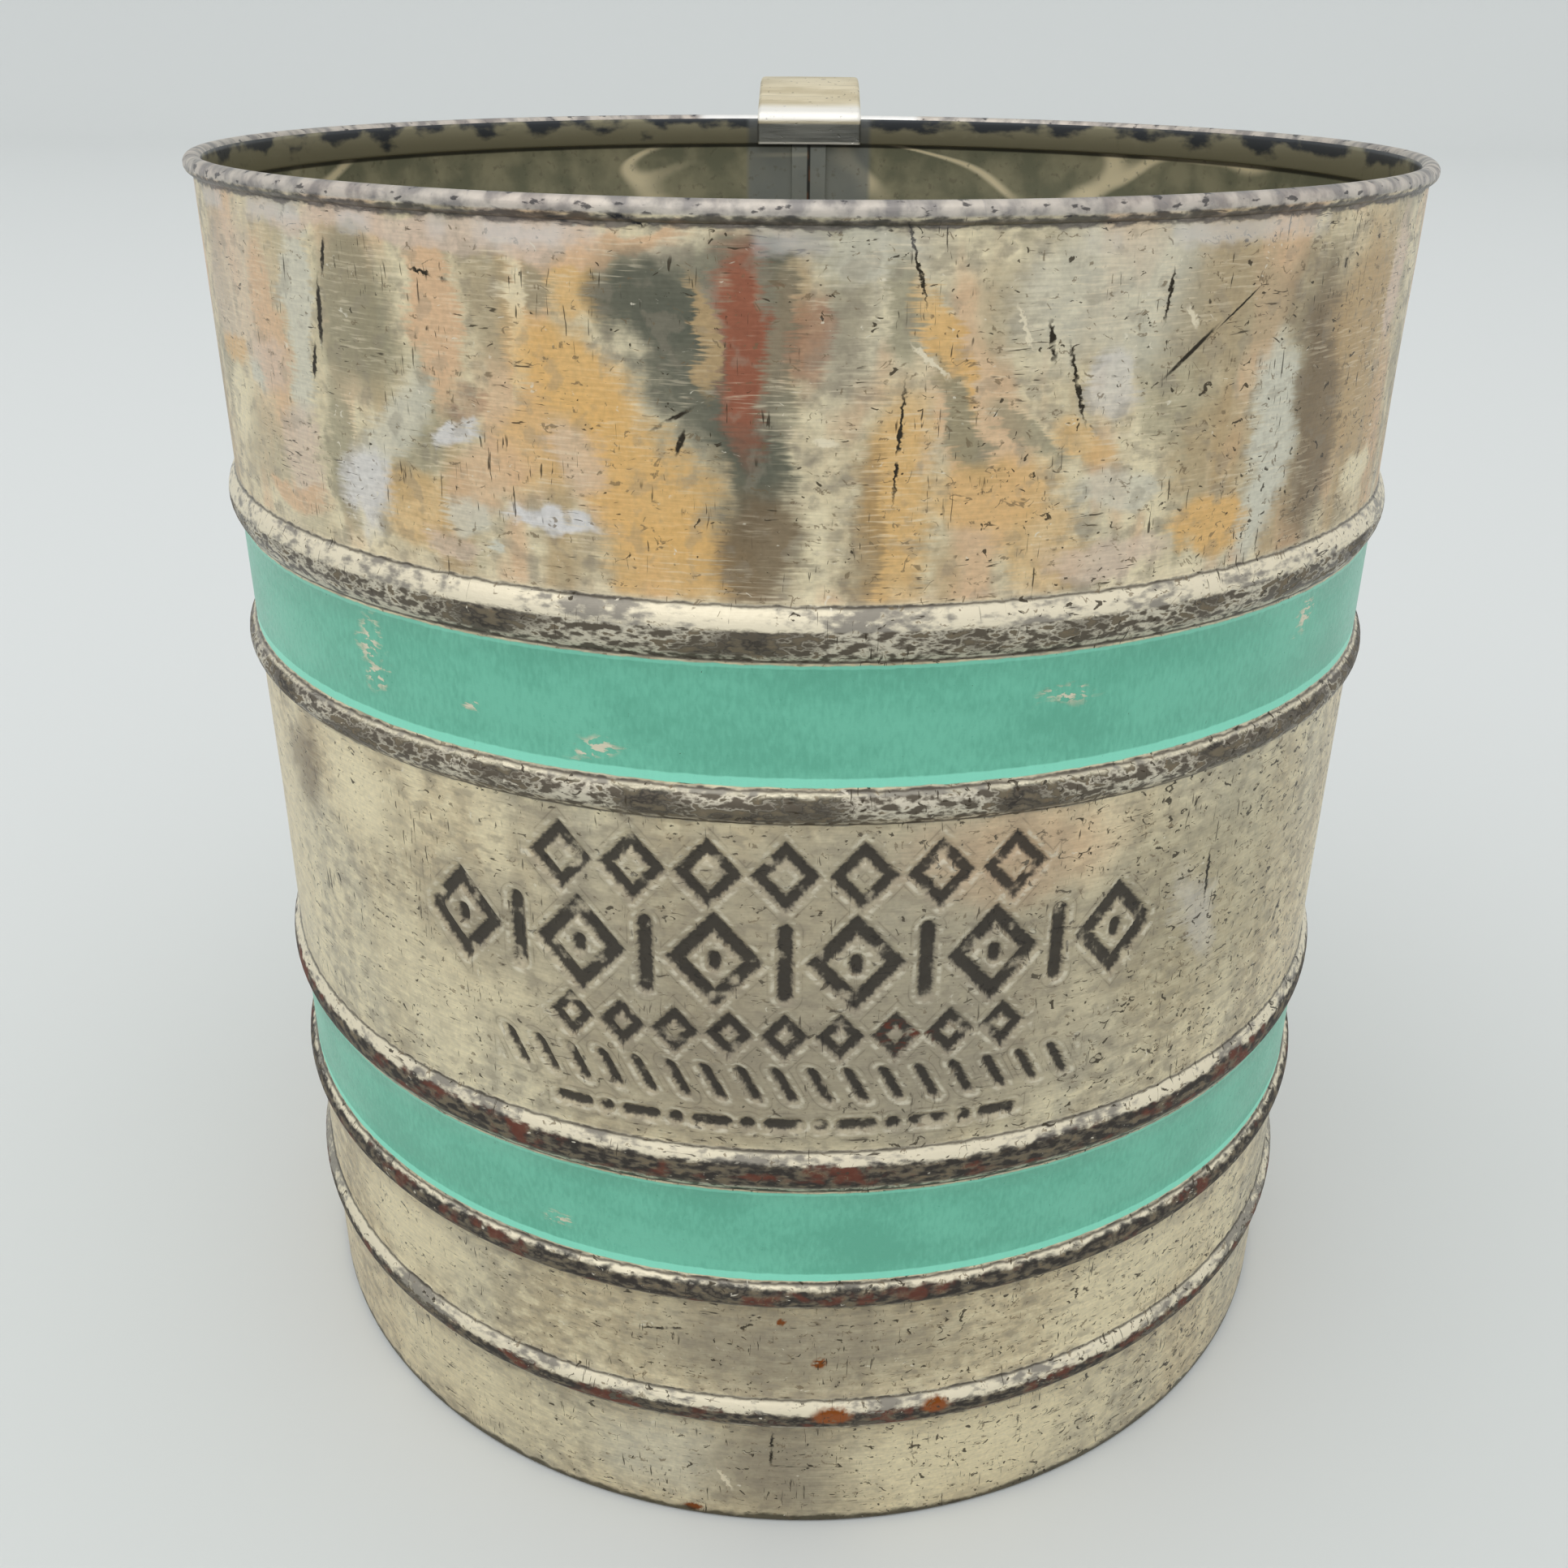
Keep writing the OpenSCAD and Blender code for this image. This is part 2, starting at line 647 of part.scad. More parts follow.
module return_spring() {
    n = ring_sides;
    pts = [for (i = [0:ring_count - 1]) each coil_ring(i)];
    walls = [for (i = [0:ring_count - 2], k = [0:n - 1]) let (m = (k + 1) % n)
        each [[i * n + k, i * n + m, (i + 1) * n + m], [i * n + k, (i + 1) * n + m, (i + 1) * n + k]]];
    first = [for (k = [1:n - 2]) [0, k + 1, k]];
    last = (ring_count - 1) * n;
    final = [for (k = [1:n - 2]) [last, last + k, last + k + 1]];
    color(steel) polyhedron(pts, concat(walls, first, final));
}

stand() body_shell();
stand() screen_ring(top_z);  // screen_ring_top
stand() screen_ring(middle_z);  // screen_ring_middle
stand() screen_ring(bottom_z);  // screen_ring_bottom
stand() screen_mesh(top_z);  // screen_mesh_top
stand() screen_mesh(middle_z);  // screen_mesh_middle
stand() screen_mesh(bottom_z);  // screen_mesh_bottom
stand() eyelet(top_z);  // eyelet_top
stand() eyelet(middle_z);  // eyelet_middle
stand() eyelet(bottom_z);  // eyelet_bottom
stand() bearing_bridge();
stand() agitator_shaft();
stand() shaft_collar();
stand() agitator(top_z, 20);  // agitator_top
stand() agitator(middle_z, 50);  // agitator_middle
stand() agitator(bottom_z, 80);  // agitator_bottom
stand() crank_arm();
stand() shaft_nut();
stand() handle_strap();
stand() foot_rivets();
stand() pivot_bracket();
stand() pivot_pin();
stand() squeeze_lever();
stand() rod_pin();
stand() push_rod();
stand() return_spring();
stand() spring_post();
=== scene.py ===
import math

import bpy
import numpy as np
from mathutils import Matrix, Vector


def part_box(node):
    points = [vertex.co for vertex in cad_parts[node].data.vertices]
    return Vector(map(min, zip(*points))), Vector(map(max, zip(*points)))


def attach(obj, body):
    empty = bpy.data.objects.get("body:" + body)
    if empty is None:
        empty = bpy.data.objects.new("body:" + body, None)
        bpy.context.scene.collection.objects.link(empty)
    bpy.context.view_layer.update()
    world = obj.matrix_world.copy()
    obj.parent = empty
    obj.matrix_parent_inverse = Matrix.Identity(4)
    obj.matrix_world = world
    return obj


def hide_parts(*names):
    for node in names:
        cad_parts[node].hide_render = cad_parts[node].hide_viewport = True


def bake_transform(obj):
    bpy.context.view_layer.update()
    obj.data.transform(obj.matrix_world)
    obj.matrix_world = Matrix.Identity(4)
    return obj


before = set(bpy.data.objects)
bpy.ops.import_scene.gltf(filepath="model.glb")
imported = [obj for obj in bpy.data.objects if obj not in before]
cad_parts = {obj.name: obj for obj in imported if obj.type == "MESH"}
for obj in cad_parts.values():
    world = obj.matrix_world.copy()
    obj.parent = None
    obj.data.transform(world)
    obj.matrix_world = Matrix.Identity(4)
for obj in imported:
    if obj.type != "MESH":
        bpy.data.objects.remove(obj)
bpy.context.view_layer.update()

# The view
# A camera close above the front of the tin, looking down on it with a phone's lens. Its place
# is the one from which both bands, the foot and the rim fall where the picture has them.
shaft_low, shaft_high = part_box("agitator_shaft")
axis_y = (shaft_low.y + shaft_high.y) / 2
camera_back = 0.1848
camera_up = 0.1484
camera_pitch = math.radians(25.65)
camera_yaw = math.radians(-0.69)
camera_roll = math.radians(0.41)
ahead = Vector((math.sin(camera_yaw) * math.cos(camera_pitch),
                math.cos(camera_yaw) * math.cos(camera_pitch), -math.sin(camera_pitch)))
level = Vector((math.cos(camera_yaw), -math.sin(camera_yaw), 0))
over = level.cross(ahead)
camera_right = level * math.cos(camera_roll) + over * math.sin(camera_roll)
camera_top = over * math.cos(camera_roll) - level * math.sin(camera_roll)
bpy.ops.object.camera_add()
camera = bpy.context.object
camera.matrix_world = (Matrix.Translation((0, axis_y - camera_back, camera_up))
                       @ Matrix((camera_right, camera_top, -ahead)).transposed().to_4x4())
camera.data.sensor_width = 36
camera.data.lens = 36
camera.data.clip_start = 0.01
bpy.context.scene.camera = camera
bpy.context.scene.view_settings.view_transform = "Standard"


# The studio
# A plain pale floor that sweeps up into a backdrop, under one large soft lamp and an even
# sky, so that a colour comes out about as it is mixed.
def dye(red, green, blue):
    """A colour as read off a screen, from 0 to 255, in the linear numbers that shaders take."""
    parts = [c / 255 for c in (red, green, blue)]
    return tuple(c / 12.92 if c < 0.04045 else ((c + 0.055) / 1.055) ** 2.4 for c in parts) + (1,)


floor_size = 6
sweep_height = 2.5
sweep_radius = 0.8
lamp_size = 1.4
lamp_watts = 3
bpy.ops.object.select_all(action="DESELECT")
bpy.ops.mesh.primitive_plane_add(size=floor_size, location=(0, 0, 0))
studio_floor = bpy.context.object
studio_floor.name = "studio_floor"
bpy.ops.object.mode_set(mode="EDIT")
bpy.ops.mesh.select_all(action="DESELECT")
bpy.ops.object.mode_set(mode="OBJECT")
for edge in studio_floor.data.edges:
    edge.select = all(studio_floor.data.vertices[v].co.y > 0 for v in edge.vertices)
bpy.ops.object.mode_set(mode="EDIT")
bpy.ops.mesh.select_mode(type="EDGE")
bpy.ops.mesh.extrude_region_move(TRANSFORM_OT_translate={"value": (0, 0, sweep_height)})
bpy.ops.object.mode_set(mode="OBJECT")
for edge in studio_floor.data.edges:
    ends = [studio_floor.data.vertices[v].co for v in edge.vertices]
    edge.select = all(c.y > 0 and c.z < 0.1 for c in ends)
bpy.ops.object.mode_set(mode="EDIT")
bpy.ops.mesh.bevel(offset=sweep_radius, segments=24)
bpy.ops.object.mode_set(mode="OBJECT")
bpy.ops.object.shade_smooth()
floor_paint = bpy.data.materials.new("studio_floor")
floor_paint.use_nodes = True
floor_shader = floor_paint.node_tree.nodes["Principled BSDF"]
floor_shader.inputs["Base Color"].default_value = dye(214, 217, 215)
floor_shader.inputs["Roughness"].default_value = 0.9
studio_floor.data.materials.append(floor_paint)

sky = bpy.data.worlds.new("studio_sky")
sky.use_nodes = True
sky_tree = sky.node_tree
background = sky_tree.nodes["Background"]
direction = sky_tree.nodes.new("ShaderNodeTexCoord")
parts = sky_tree.nodes.new("ShaderNodeSeparateXYZ")
climb = sky_tree.nodes.new("ShaderNodeMapRange")
climb.inputs["From Max"].default_value = 0.9
shade = sky_tree.nodes.new("ShaderNodeMix")
shade.data_type = "RGBA"
shade.inputs[6].default_value = (0.80, 0.82, 0.84, 1)
shade.inputs[7].default_value = (1.06, 1.07, 1.09, 1)
seen = sky_tree.nodes.new("ShaderNodeLightPath")
backdrop = sky_tree.nodes.new("ShaderNodeMix")
backdrop.data_type = "RGBA"
backdrop.inputs[7].default_value = dye(214, 217, 215)
sky_tree.links.new(direction.outputs["Generated"], parts.inputs[0])
sky_tree.links.new(parts.outputs["Z"], climb.inputs["Value"])
sky_tree.links.new(climb.outputs[0], shade.inputs[0])
sky_tree.links.new(seen.outputs["Is Camera Ray"], backdrop.inputs[0])
sky_tree.links.new(shade.outputs[2], backdrop.inputs[6])
sky_tree.links.new(backdrop.outputs[2], background.inputs["Color"])
bpy.context.scene.world = sky
bpy.ops.object.light_add(type="AREA", location=(-0.35, axis_y - 0.5, 1.1))
lamp = bpy.context.object
lamp.data.size = lamp_size
lamp.data.energy = lamp_watts
lamp.rotation_euler = (Vector((0, axis_y, 0.07)) - lamp.location).to_track_quat("-Z", "Y").to_euler()


# The tin's wall
# One sheet of tinplate rolled into a can: five beads stiffen it, two bands are enamelled mint
# green, the rim is rolled outwards over a hem and the foot is hemmed inwards.
wall_r = 0.064
sheet = 0.0005
bead_out = 0.001
band_height = 0.0112
upper_band = 0.0900
lower_band = 0.0348
rim_r = 0.0009
rim_at = (wall_r + 0.0008 - rim_r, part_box("body_shell")[1].z - rim_r)
hem_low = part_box("body_shell")[1].z - 0.0038
foot_hem = 0.004


def seat_of(ring):
    """Height of the bead that holds this screen ring."""
    low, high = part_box(ring)
    return (low.z + high.z) / 2


# Each bead as [middle height, height of the bead]
shoulder_bead = (0.1039, 0.0050)
upper_bead = (seat_of("screen_ring_top"), 0.0034)
waist_bead = (seat_of("screen_ring_middle"), 0.0050)
lower_bead = (0.0329, 0.0034)
skirt_bead = (seat_of("screen_ring_bottom"), 0.0042)
beads = [skirt_bead, lower_bead, waist_bead, upper_bead, shoulder_bead]


def ends_of(bead):
    """Foot and top of a bead."""
    mid, tall = bead
    return mid - tall / 2, mid + tall / 2


def bulge(z):
    """How far the wall stands out at this height."""
    return sum(bead_out * max(0, 1 - ((z - mid) / (tall / 2)) ** 2) for mid, tall in beads)


def heights(low, high, step):
    """Even steps from low up to just under high, no longer than step."""
    count = max(1, math.ceil((high - low) / step))
    return [low + (high - low) * i / count for i in range(count)]


def arc(centre, radius, first, last, count):
    """Points of an arc in a section, by angles in degrees from outwards towards up."""
    angles = [math.radians(first + (last - first) * i / count) for i in range(count + 1)]
    return [(centre[0] + radius * math.cos(a), centre[1] + radius * math.sin(a)) for a in angles]


def turned(name, outline, turns=((360, 96),), start=0):
    """A closed outline of (radius, height) points, turned about the tin's axis in stretches of
    (degrees, steps), from a starting angle counted from the front."""
    stretches = []
    for degrees, steps in turns:
        bpy.ops.object.select_all(action="DESELECT")
        bpy.ops.mesh.primitive_circle_add(vertices=len(outline), radius=wall_r)
        piece = bpy.context.object
        side = math.radians(start)
        for corner, (r, z) in zip(piece.data.vertices, outline):
            corner.co = (r * math.sin(side), -r * math.cos(side), z)
        lathe = piece.modifiers.new("lathe", "SCREW")
        lathe.angle = math.radians(degrees)
        lathe.steps = steps
        lathe.render_steps = steps
        bpy.ops.object.modifier_apply(modifier=lathe.name)
        stretches.append(piece)
        start += degrees
    bpy.ops.object.select_all(action="DESELECT")
    for piece in stretches:
        piece.select_set(True)
    if len(stretches) > 1:
        bpy.ops.object.join()
    piece = bpy.context.object
    piece.name = name
    piece.location.y = axis_y
    bpy.ops.object.transform_apply(location=True, rotation=True, scale=True)
    bpy.ops.object.mode_set(mode="EDIT")
    bpy.ops.mesh.select_all(action="SELECT")
    bpy.ops.mesh.remove_doubles(threshold=1e-6)
    bpy.ops.mesh.fill_holes(sides=0)
    bpy.ops.mesh.normals_make_consistent(inside=False)
    bpy.ops.object.mode_set(mode="OBJECT")
    return piece


# The rows of the wall's outside, as [top of a stretch, longest step in it]: they are close over the
# beads and the ornament
ornament_top = 0.0850
skirt_foot, skirt_top = ends_of(skirt_bead)
lower_foot, lower_top = ends_of(lower_bead)
waist_foot, waist_top = ends_of(waist_bead)
upper_foot, upper_top = ends_of(upper_bead)
shoulder_foot, shoulder_top = ends_of(shoulder_bead)
stretches = [(skirt_foot, 0.0035), (skirt_top, 0.0004), (lower_foot, 0.0035), (lower_top, 0.00034),
             (waist_foot, 0.003), (waist_top, 0.0005), (ornament_top, 0.0004), (upper_foot, 0.001),
             (upper_top, 0.00034), (shoulder_foot, 0.003), (shoulder_top, 0.0005), (rim_at[1] - rim_r, 0.002)]
outer_heights = []
reached = sheet
for top, step in stretches:
    outer_heights += heights(reached, top, step)
    reached = top
inner_step = 0.006
inner_heights = [hem_low - 0.0003]
for mid, tall in reversed(beads):
    inner_heights += heights(mid + tall / 2, inner_heights[-1], inner_step)[::-1]
    inner_heights += heights(mid - tall / 2, mid + tall / 2, tall / 6)[::-1]
inner_heights += heights(foot_hem, inner_heights[-1], inner_step)[::-1]
under_rim = math.degrees(math.acos((wall_r - rim_at[0]) / rim_r))
inside_rim = 180 + math.degrees(math.acos((rim_at[0] - wall_r + 2 * sheet) / rim_r))
wall_outline = ([(wall_r + bulge(z), z) for z in outer_heights]
                + arc(rim_at, rim_r, -under_rim, inside_rim, 20)
                + [(wall_r - 2 * sheet, hem_low + sheet / 2), (wall_r - 1.8 * sheet, hem_low),
                   (wall_r - 1.1 * sheet, hem_low)]
                + [(wall_r - sheet + bulge(z), z) for z in inner_heights]
                + [(wall_r - 2 * sheet, foot_hem - sheet / 4)]
                + arc((wall_r - sheet, sheet), sheet, 180, 355, 6))
front_sweep = 76
body_wall = turned("body_wall", wall_outline, start=-front_sweep / 2,
                   turns=((front_sweep, 240), (360 - front_sweep, 130)))

# A slot at the back lets the push rod through
pin_low, pin_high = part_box("rod_pin")
rod_z = (pin_low.z + pin_high.z) / 2
slot_half_w = 0.002
slot_rise = 0.0004
cutter_length = 0.02


def cut_slot(piece):
    """Cuts the rod's slot through a piece at the back of the tin."""
    bpy.ops.object.select_all(action="DESELECT")
    bpy.ops.mesh.primitive_cylinder_add(vertices=32, radius=slot_half_w, depth=cutter_length,
                                        location=(0, axis_y + wall_r, rod_z),
                                        rotation=(math.pi / 2, 0, 0))
    cutter = bpy.context.object
    bpy.ops.object.transform_apply(location=True, rotation=True, scale=True)
    for corner in cutter.data.vertices:
        corner.co.z += math.copysign(slot_rise, corner.co.z - rod_z)
    piece.select_set(True)
    bpy.context.view_layer.objects.active = piece
    opening = piece.modifiers.new("rod_slot", "BOOLEAN")
    opening.object = cutter
    opening.operation = "DIFFERENCE"
    opening.solver = "FAST"
    bpy.ops.object.modifier_apply(modifier=opening.name)
    bpy.data.objects.remove(cutter)


cut_slot(body_wall)


# What the shaders and the ornament are written with. A Tone wraps one socket of a material.
class Tone:
    """A number or colour that a material works out, on which plain arithmetic adds nodes."""

    def __init__(self, tree, socket):
        self.tree = tree
        self.socket = socket

    def node(self, kind, sockets=None, out=0, **settings):
        """Adds a node of a kind, with its settings first and then its sockets' values or links."""
        new = self.tree.nodes.new(kind)
        for key, value in settings.items():
            setattr(new, key, value)
        for key, value in (sockets or {}).items():
            if isinstance(value, Tone):
                self.tree.links.new(value.socket, new.inputs[key])
            else:
                new.inputs[key].default_value = value
        return Tone(self.tree, new.outputs[out])

    def sum(self, operation, *values):
        return self.node("ShaderNodeMath", dict(enumerate(values)), operation=operation)

    def __add__(self, other):
        return self.sum("ADD", self, other)

    def __sub__(self, other):
        return self.sum("SUBTRACT", self, other)

    def __rsub__(self, other):
        return self.sum("SUBTRACT", other, self)

    def __mul__(self, other):
        return self.sum("MULTIPLY", self, other)

    def __pow__(self, other):
        return self.sum("POWER", self, other)

    def __mod__(self, other):
        return self.sum("FLOORED_MODULO", self, other)

    def __abs__(self):
        return self.sum("ABSOLUTE", self)

    __radd__ = __add__
    __rmul__ = __mul__

    def from_to(self, first, last, most=1):
        """0 where this is at first and 1, or most, where it is at last, easing in between."""
        return self.node("ShaderNodeMapRange", {0: self, 1: first, 2: last, 4: most},
                         interpolation_type="SMOOTHSTEP")

    def blend(self, under, top):
        """The colour under, where this is 0, and the colour top, where it is 1."""
        return self.node("ShaderNodeMix", {0: self, 6: under, 7: top}, out=2, data_type="RGBA")

    def grain(self, size, detail=3, along=(1, 1, 1), distortion=0, seed=0):
        """Noise about 0.5 on this place, with lumps of about this size, drawn out by along."""
        spread = tuple(1 / (size * a) for a in along)
        place = self.node("ShaderNodeMapping", {0: self, 1: (seed, 2 * seed, 3 * seed), 3: spread})
        return self.node("ShaderNodeTexNoise", {"Vector": place, "Scale": 1, "Detail": detail,
                                                "Distortion": distortion})


def lesser(a, b):
    """The lesser of two values, whether a shader or a mesh works with them."""
    return a.sum("MINIMUM", a, b) if isinstance(a, Tone) else np.minimum(a, b)


def greater(a, b):
    """The greater of two values, whether a shader or a mesh works with them."""
    return a.sum("MAXIMUM", a, b) if isinstance(a, Tone) else np.maximum(a, b)


def finish(name, metallic=1.0, roughness=0.4):
    """A new material, its shader and the place on the object, in metres."""
    paint = bpy.data.materials.new(name)
    paint.use_nodes = True
    tree = paint.node_tree
    shader = tree.nodes["Principled BSDF"]
    shader.inputs["Metallic"].default_value = metallic
    shader.inputs["Roughness"].default_value = roughness
    place = Tone(tree, tree.nodes.new("ShaderNodeTexCoord").outputs["Object"])
    return paint, shader, place


def coat(shader, **sockets):
    """Links what varies over a surface to the shader: colour, roughness, metal or a bump."""
    names = {"colour": "Base Color", "roughness": "Roughness", "metallic": "Metallic"}
    for key, value in sockets.items():
        tree = value.tree
        if key == "bump":
            value = value.node("ShaderNodeBump", {"Height": value, "Distance": 0.0002, "Strength": 0.6})
            tree.links.new(value.socket, shader.inputs["Normal"])
        else:
            tree.links.new(value.socket, shader.inputs[names[key]])


def put_on(piece, *paints):
    """Gives a piece its materials in order."""
    piece.data.materials.clear()
    for paint in paints:
        piece.data.materials.append(paint)


# The pressed ornament stands between the upper and the waist bead: rows of lozenges, flutes,
# slanting bars and studs. Below, u runs round the front and z up, both in millimetres.
ornament_mid = -1.25
top_row = 81.2
great_row = 72.2
small_row = 64.2
bar_row = 58.8
stud_row = 54.2
slant = 0.5


def lozenge(x, y, half_w, half_h, stroke):
    """How far outside the line of a lozenge a point lies."""
    slope = half_w * half_h / math.hypot(half_w, half_h)
    return abs((abs(x) * (1 / half_w) + abs(y) * (1 / half_h) - 1) * slope) - stroke / 2


def bar(x, y, half_len, stroke):
    """How far outside an upright bar with round ends a point lies."""
    past = greater(abs(y) - half_len, 0)
    return (x * x + past * past) ** 0.5 - stroke / 2


def repeat(x, pitch):
    """Place along a row, from the middle of the nearest copy."""
    return (x + pitch / 2) % pitch - pitch / 2


def pressed(u, z):
    """How far outside the pressed strokes a point of the wall lies."""
    x = u - ornament_mid
    rows = [greater(lozenge(repeat(x, 7), z - top_row, 2.4, 2.7, 1.3), abs(x) - 24.5),
            greater(lozenge(repeat(x + 6.5, 13), z - great_row, 3.6, 4.1, 1.6), abs(x) - 36.6),
            greater(bar(repeat(x + 6.5, 13), z - great_row, 0.4, 1.4), abs(x) - 36.6),
            greater(bar(repeat(x, 13), z - great_row, 3.4, 1.6), abs(x) - 36.6),
            greater(lozenge(repeat(x, 5.2), z - small_row, 1.6, 1.8, 1.2), abs(x) - 23.4),
            greater(bar(repeat(x + (z - bar_row) * slant, 3.4), z - bar_row, 1.4, 1.2), abs(x) - 29),
            greater(bar(z - stud_row, repeat(x, 7), 1.4, 1.3), abs(x) - 23),
            greater(bar(z - stud_row, repeat(x + 3.5, 7), 0.1, 1.4), abs(x) - 23)]
    nearest = rows[0]
    for row in rows[1:]:
        nearest = lesser(nearest, row)
    return nearest


# The press and years of use: the ornament is sunk with a slight lip round each stroke, and the
# plain wall has a few shallow dents.
stroke_depth = 0.00042
stroke_lip = 0.00008
dents = [(-36, 117, 13, 0.35), (22, 125, 16, 0.3), (50, 70, 20, 0.25), (-58, 68, 15, 0.3),
         (-12, 9, 12, 0.2), (98, 118, 18, 0.5), (-110, 72, 22, 0.45), (140, 24, 20, 0.4),
         (160, 120, 15, 0.35), (-150, 116, 20, 0.4)]
count = len(body_wall.data.vertices)
spots = np.zeros(count * 3)
body_wall.data.vertices.foreach_get("co", spots)
spots = spots.reshape(-1, 3)
radius = np.hypot(spots[:, 0], spots[:, 1] - axis_y)
turn = np.arctan2(spots[:, 0], -(spots[:, 1] - axis_y))
u = turn * wall_r * 1000
z = spots[:, 2] * 1000
outside = pressed(u, z)
groove = np.clip(0.5 - outside / 0.5, 0, 1)
groove = groove * groove * (3 - 2 * groove)
lip = np.exp(-((outside - 0.55) / 0.35) ** 2)
push = (stroke_lip * lip - stroke_depth * groove) * (radius > wall_r - sheet / 2)
for dent_u, dent_z, reach, depth in dents:
    off_u = (u - dent_u + 201) % 402 - 201
    push -= depth * 0.001 * np.exp(-((off_u / reach) ** 2 + ((z - dent_z) / (0.6 * reach)) ** 2))
calm = np.clip((hem_low * 1000 - 2 - z) / 8, 0, 1) * np.clip((z - 1) / 6, 0, 1)
scale = 1 + push * calm / radius
spots[:, 0] *= scale
spots[:, 1] = axis_y + (spots[:, 1] - axis_y) * scale
body_wall.data.vertices.foreach_set("co", spots.ravel())
body_wall.data.update()
bpy.ops.object.shade_smooth_by_angle(angle=math.radians(50))


def round_tin(place):
    """Place on the wall as (u, z) in millimetres, and both together for a grain."""
    split = place.node("ShaderNodeSeparateXYZ", {0: place})
    along_x = split
    along_y = Tone(split.tree, split.socket.node.outputs[1])
    up = Tone(split.tree, split.socket.node.outputs[2])
    u = along_x.sum("ARCTAN2", along_x, axis_y - along_y) * (wall_r * 1000)
    z = up * 1000
    return u, z, u.node("ShaderNodeCombineXYZ", {0: u, 1: z})


# The wall's finish: dull tinplate with warm tarnish and painted reflections, black cracks and pale scuffs,
# grime and rust along each bead with painted highlight and shade, mint enamel in the two bands with a few
# chips.
wall_paint, wall_shader, place = finish("worn_tinplate")
u, z, flat = round_tin(place)
half_round = 3141
back_u = wall_r * half_round
mottle = flat.grain(2.4, detail=5, seed=11)
fine = flat.grain(0.5, detail=3, seed=13)
streaks = flat.grain(8, detail=3, along=(1, 5, 1), seed=5)
brushed = flat.grain(0.4, detail=2, along=(7, 0.6, 1), distortion=0.5, seed=9)
reach = flat.grain(7, detail=3, along=(1.6, 1, 1), seed=43)
crumbs = flat.grain(0.7, detail=4, along=(2.2, 1, 1), seed=37)
brush = brushed.from_to(0.3, 0.7)
speck = fine.from_to(0.25, 0.75)
wander_u = u + (flat.grain(10, detail=3) + mottle * 0.5 + brushed * 0.4 - 0.95) * 7
wander_z = z + (flat.grain(9, detail=3, seed=7) + mottle * 0.4 - 0.7) * 7
wandering = u.node("ShaderNodeCombineXYZ", {0: wander_u, 1: wander_z})
jittery = u.node("ShaderNodeCombineXYZ", {0: u + (fine - 0.5) * 0.9, 1: z + (speck - 0.5) * 0.3})


# u and z are millimetres round from the front and up, and back_u is the seam
def patch(mid_u, mid_z, half_u, half_z, turn=0, soft=0.35, strength=1, place=wandering):
    """The strength given in an uneven oval on the wall, turned leftwards by some degrees."""
    if turn:
        pivot = (mid_u, mid_z, 0)
        place = place.node("ShaderNodeVectorRotate", {0: place, 1: pivot, 3: math.radians(-turn)},
                           rotation_type="Z_AXIS")
    near = place.node("ShaderNodeVectorMath", operation="MULTIPLY_ADD", sockets={
        0: place, 1: (1 / half_u, 1 / half_z, 0), 2: (-mid_u / half_u, -mid_z / half_z, 0)})
    far = near.node("ShaderNodeVectorMath", {0: near}, out=1, operation="LENGTH")
    return far.from_to(1 + soft, 1 - soft, strength)


def zone(low, high, height, soft=0.15):
    """1 between two heights, in millimetres."""
    return height.from_to(low - soft, low + soft) * height.from_to(high + soft, high - soft)


def most(masks):
    """The strongest of several masks at each place."""
    strongest = masks[0]
    for mask in masks[1:]:
        strongest = greater(strongest, mask)
    return strongest


# The tones of old tin, from clean to rusty, and the plain plate in broad, streaky clouds of them
cream = dye(238, 225, 190)
beige = dye(214, 198, 164)
dun = dye(176, 160, 130)
taupe = dye(152, 142, 124)
olive = dye(154, 147, 122)
peach = dye(224, 188, 150)
pink = dye(220, 198, 178)
amber = dye(228, 184, 118)
tan = dye(190, 162, 120)
slate = dye(98, 99, 86)
umber = dye(126, 108, 84)
brick = dye(154, 98, 76)
frost = dye(222, 218, 214)
silver = dye(214, 210, 192)
grime = dye(34, 29, 23)
rust = dye(98, 48, 30)

broad = flat.grain(24, detail=3, along=(1, 1.6, 1), seed=3)
tin = broad.from_to(0.44, 0.62).blend(beige, dye(204, 194, 168))
tin = streaks.from_to(0.5, 0.64, 0.45).blend(tin, dun)
tin = streaks.from_to(0.47, 0.36, 0.6).blend(tin, cream)
finer = flat.grain(1.3, detail=4, along=(1.6, 1, 1), seed=12)
tin = finer.from_to(0.5, 0.64, 0.5).blend(tin, taupe)
tin = finer.from_to(0.48, 0.36, 0.5).blend(tin, cream)
tin = mottle.from_to(0.52, 0.66, 0.35).blend(tin, taupe)
tin = mottle.from_to(0.48, 0.36, 0.45).blend(tin, cream)
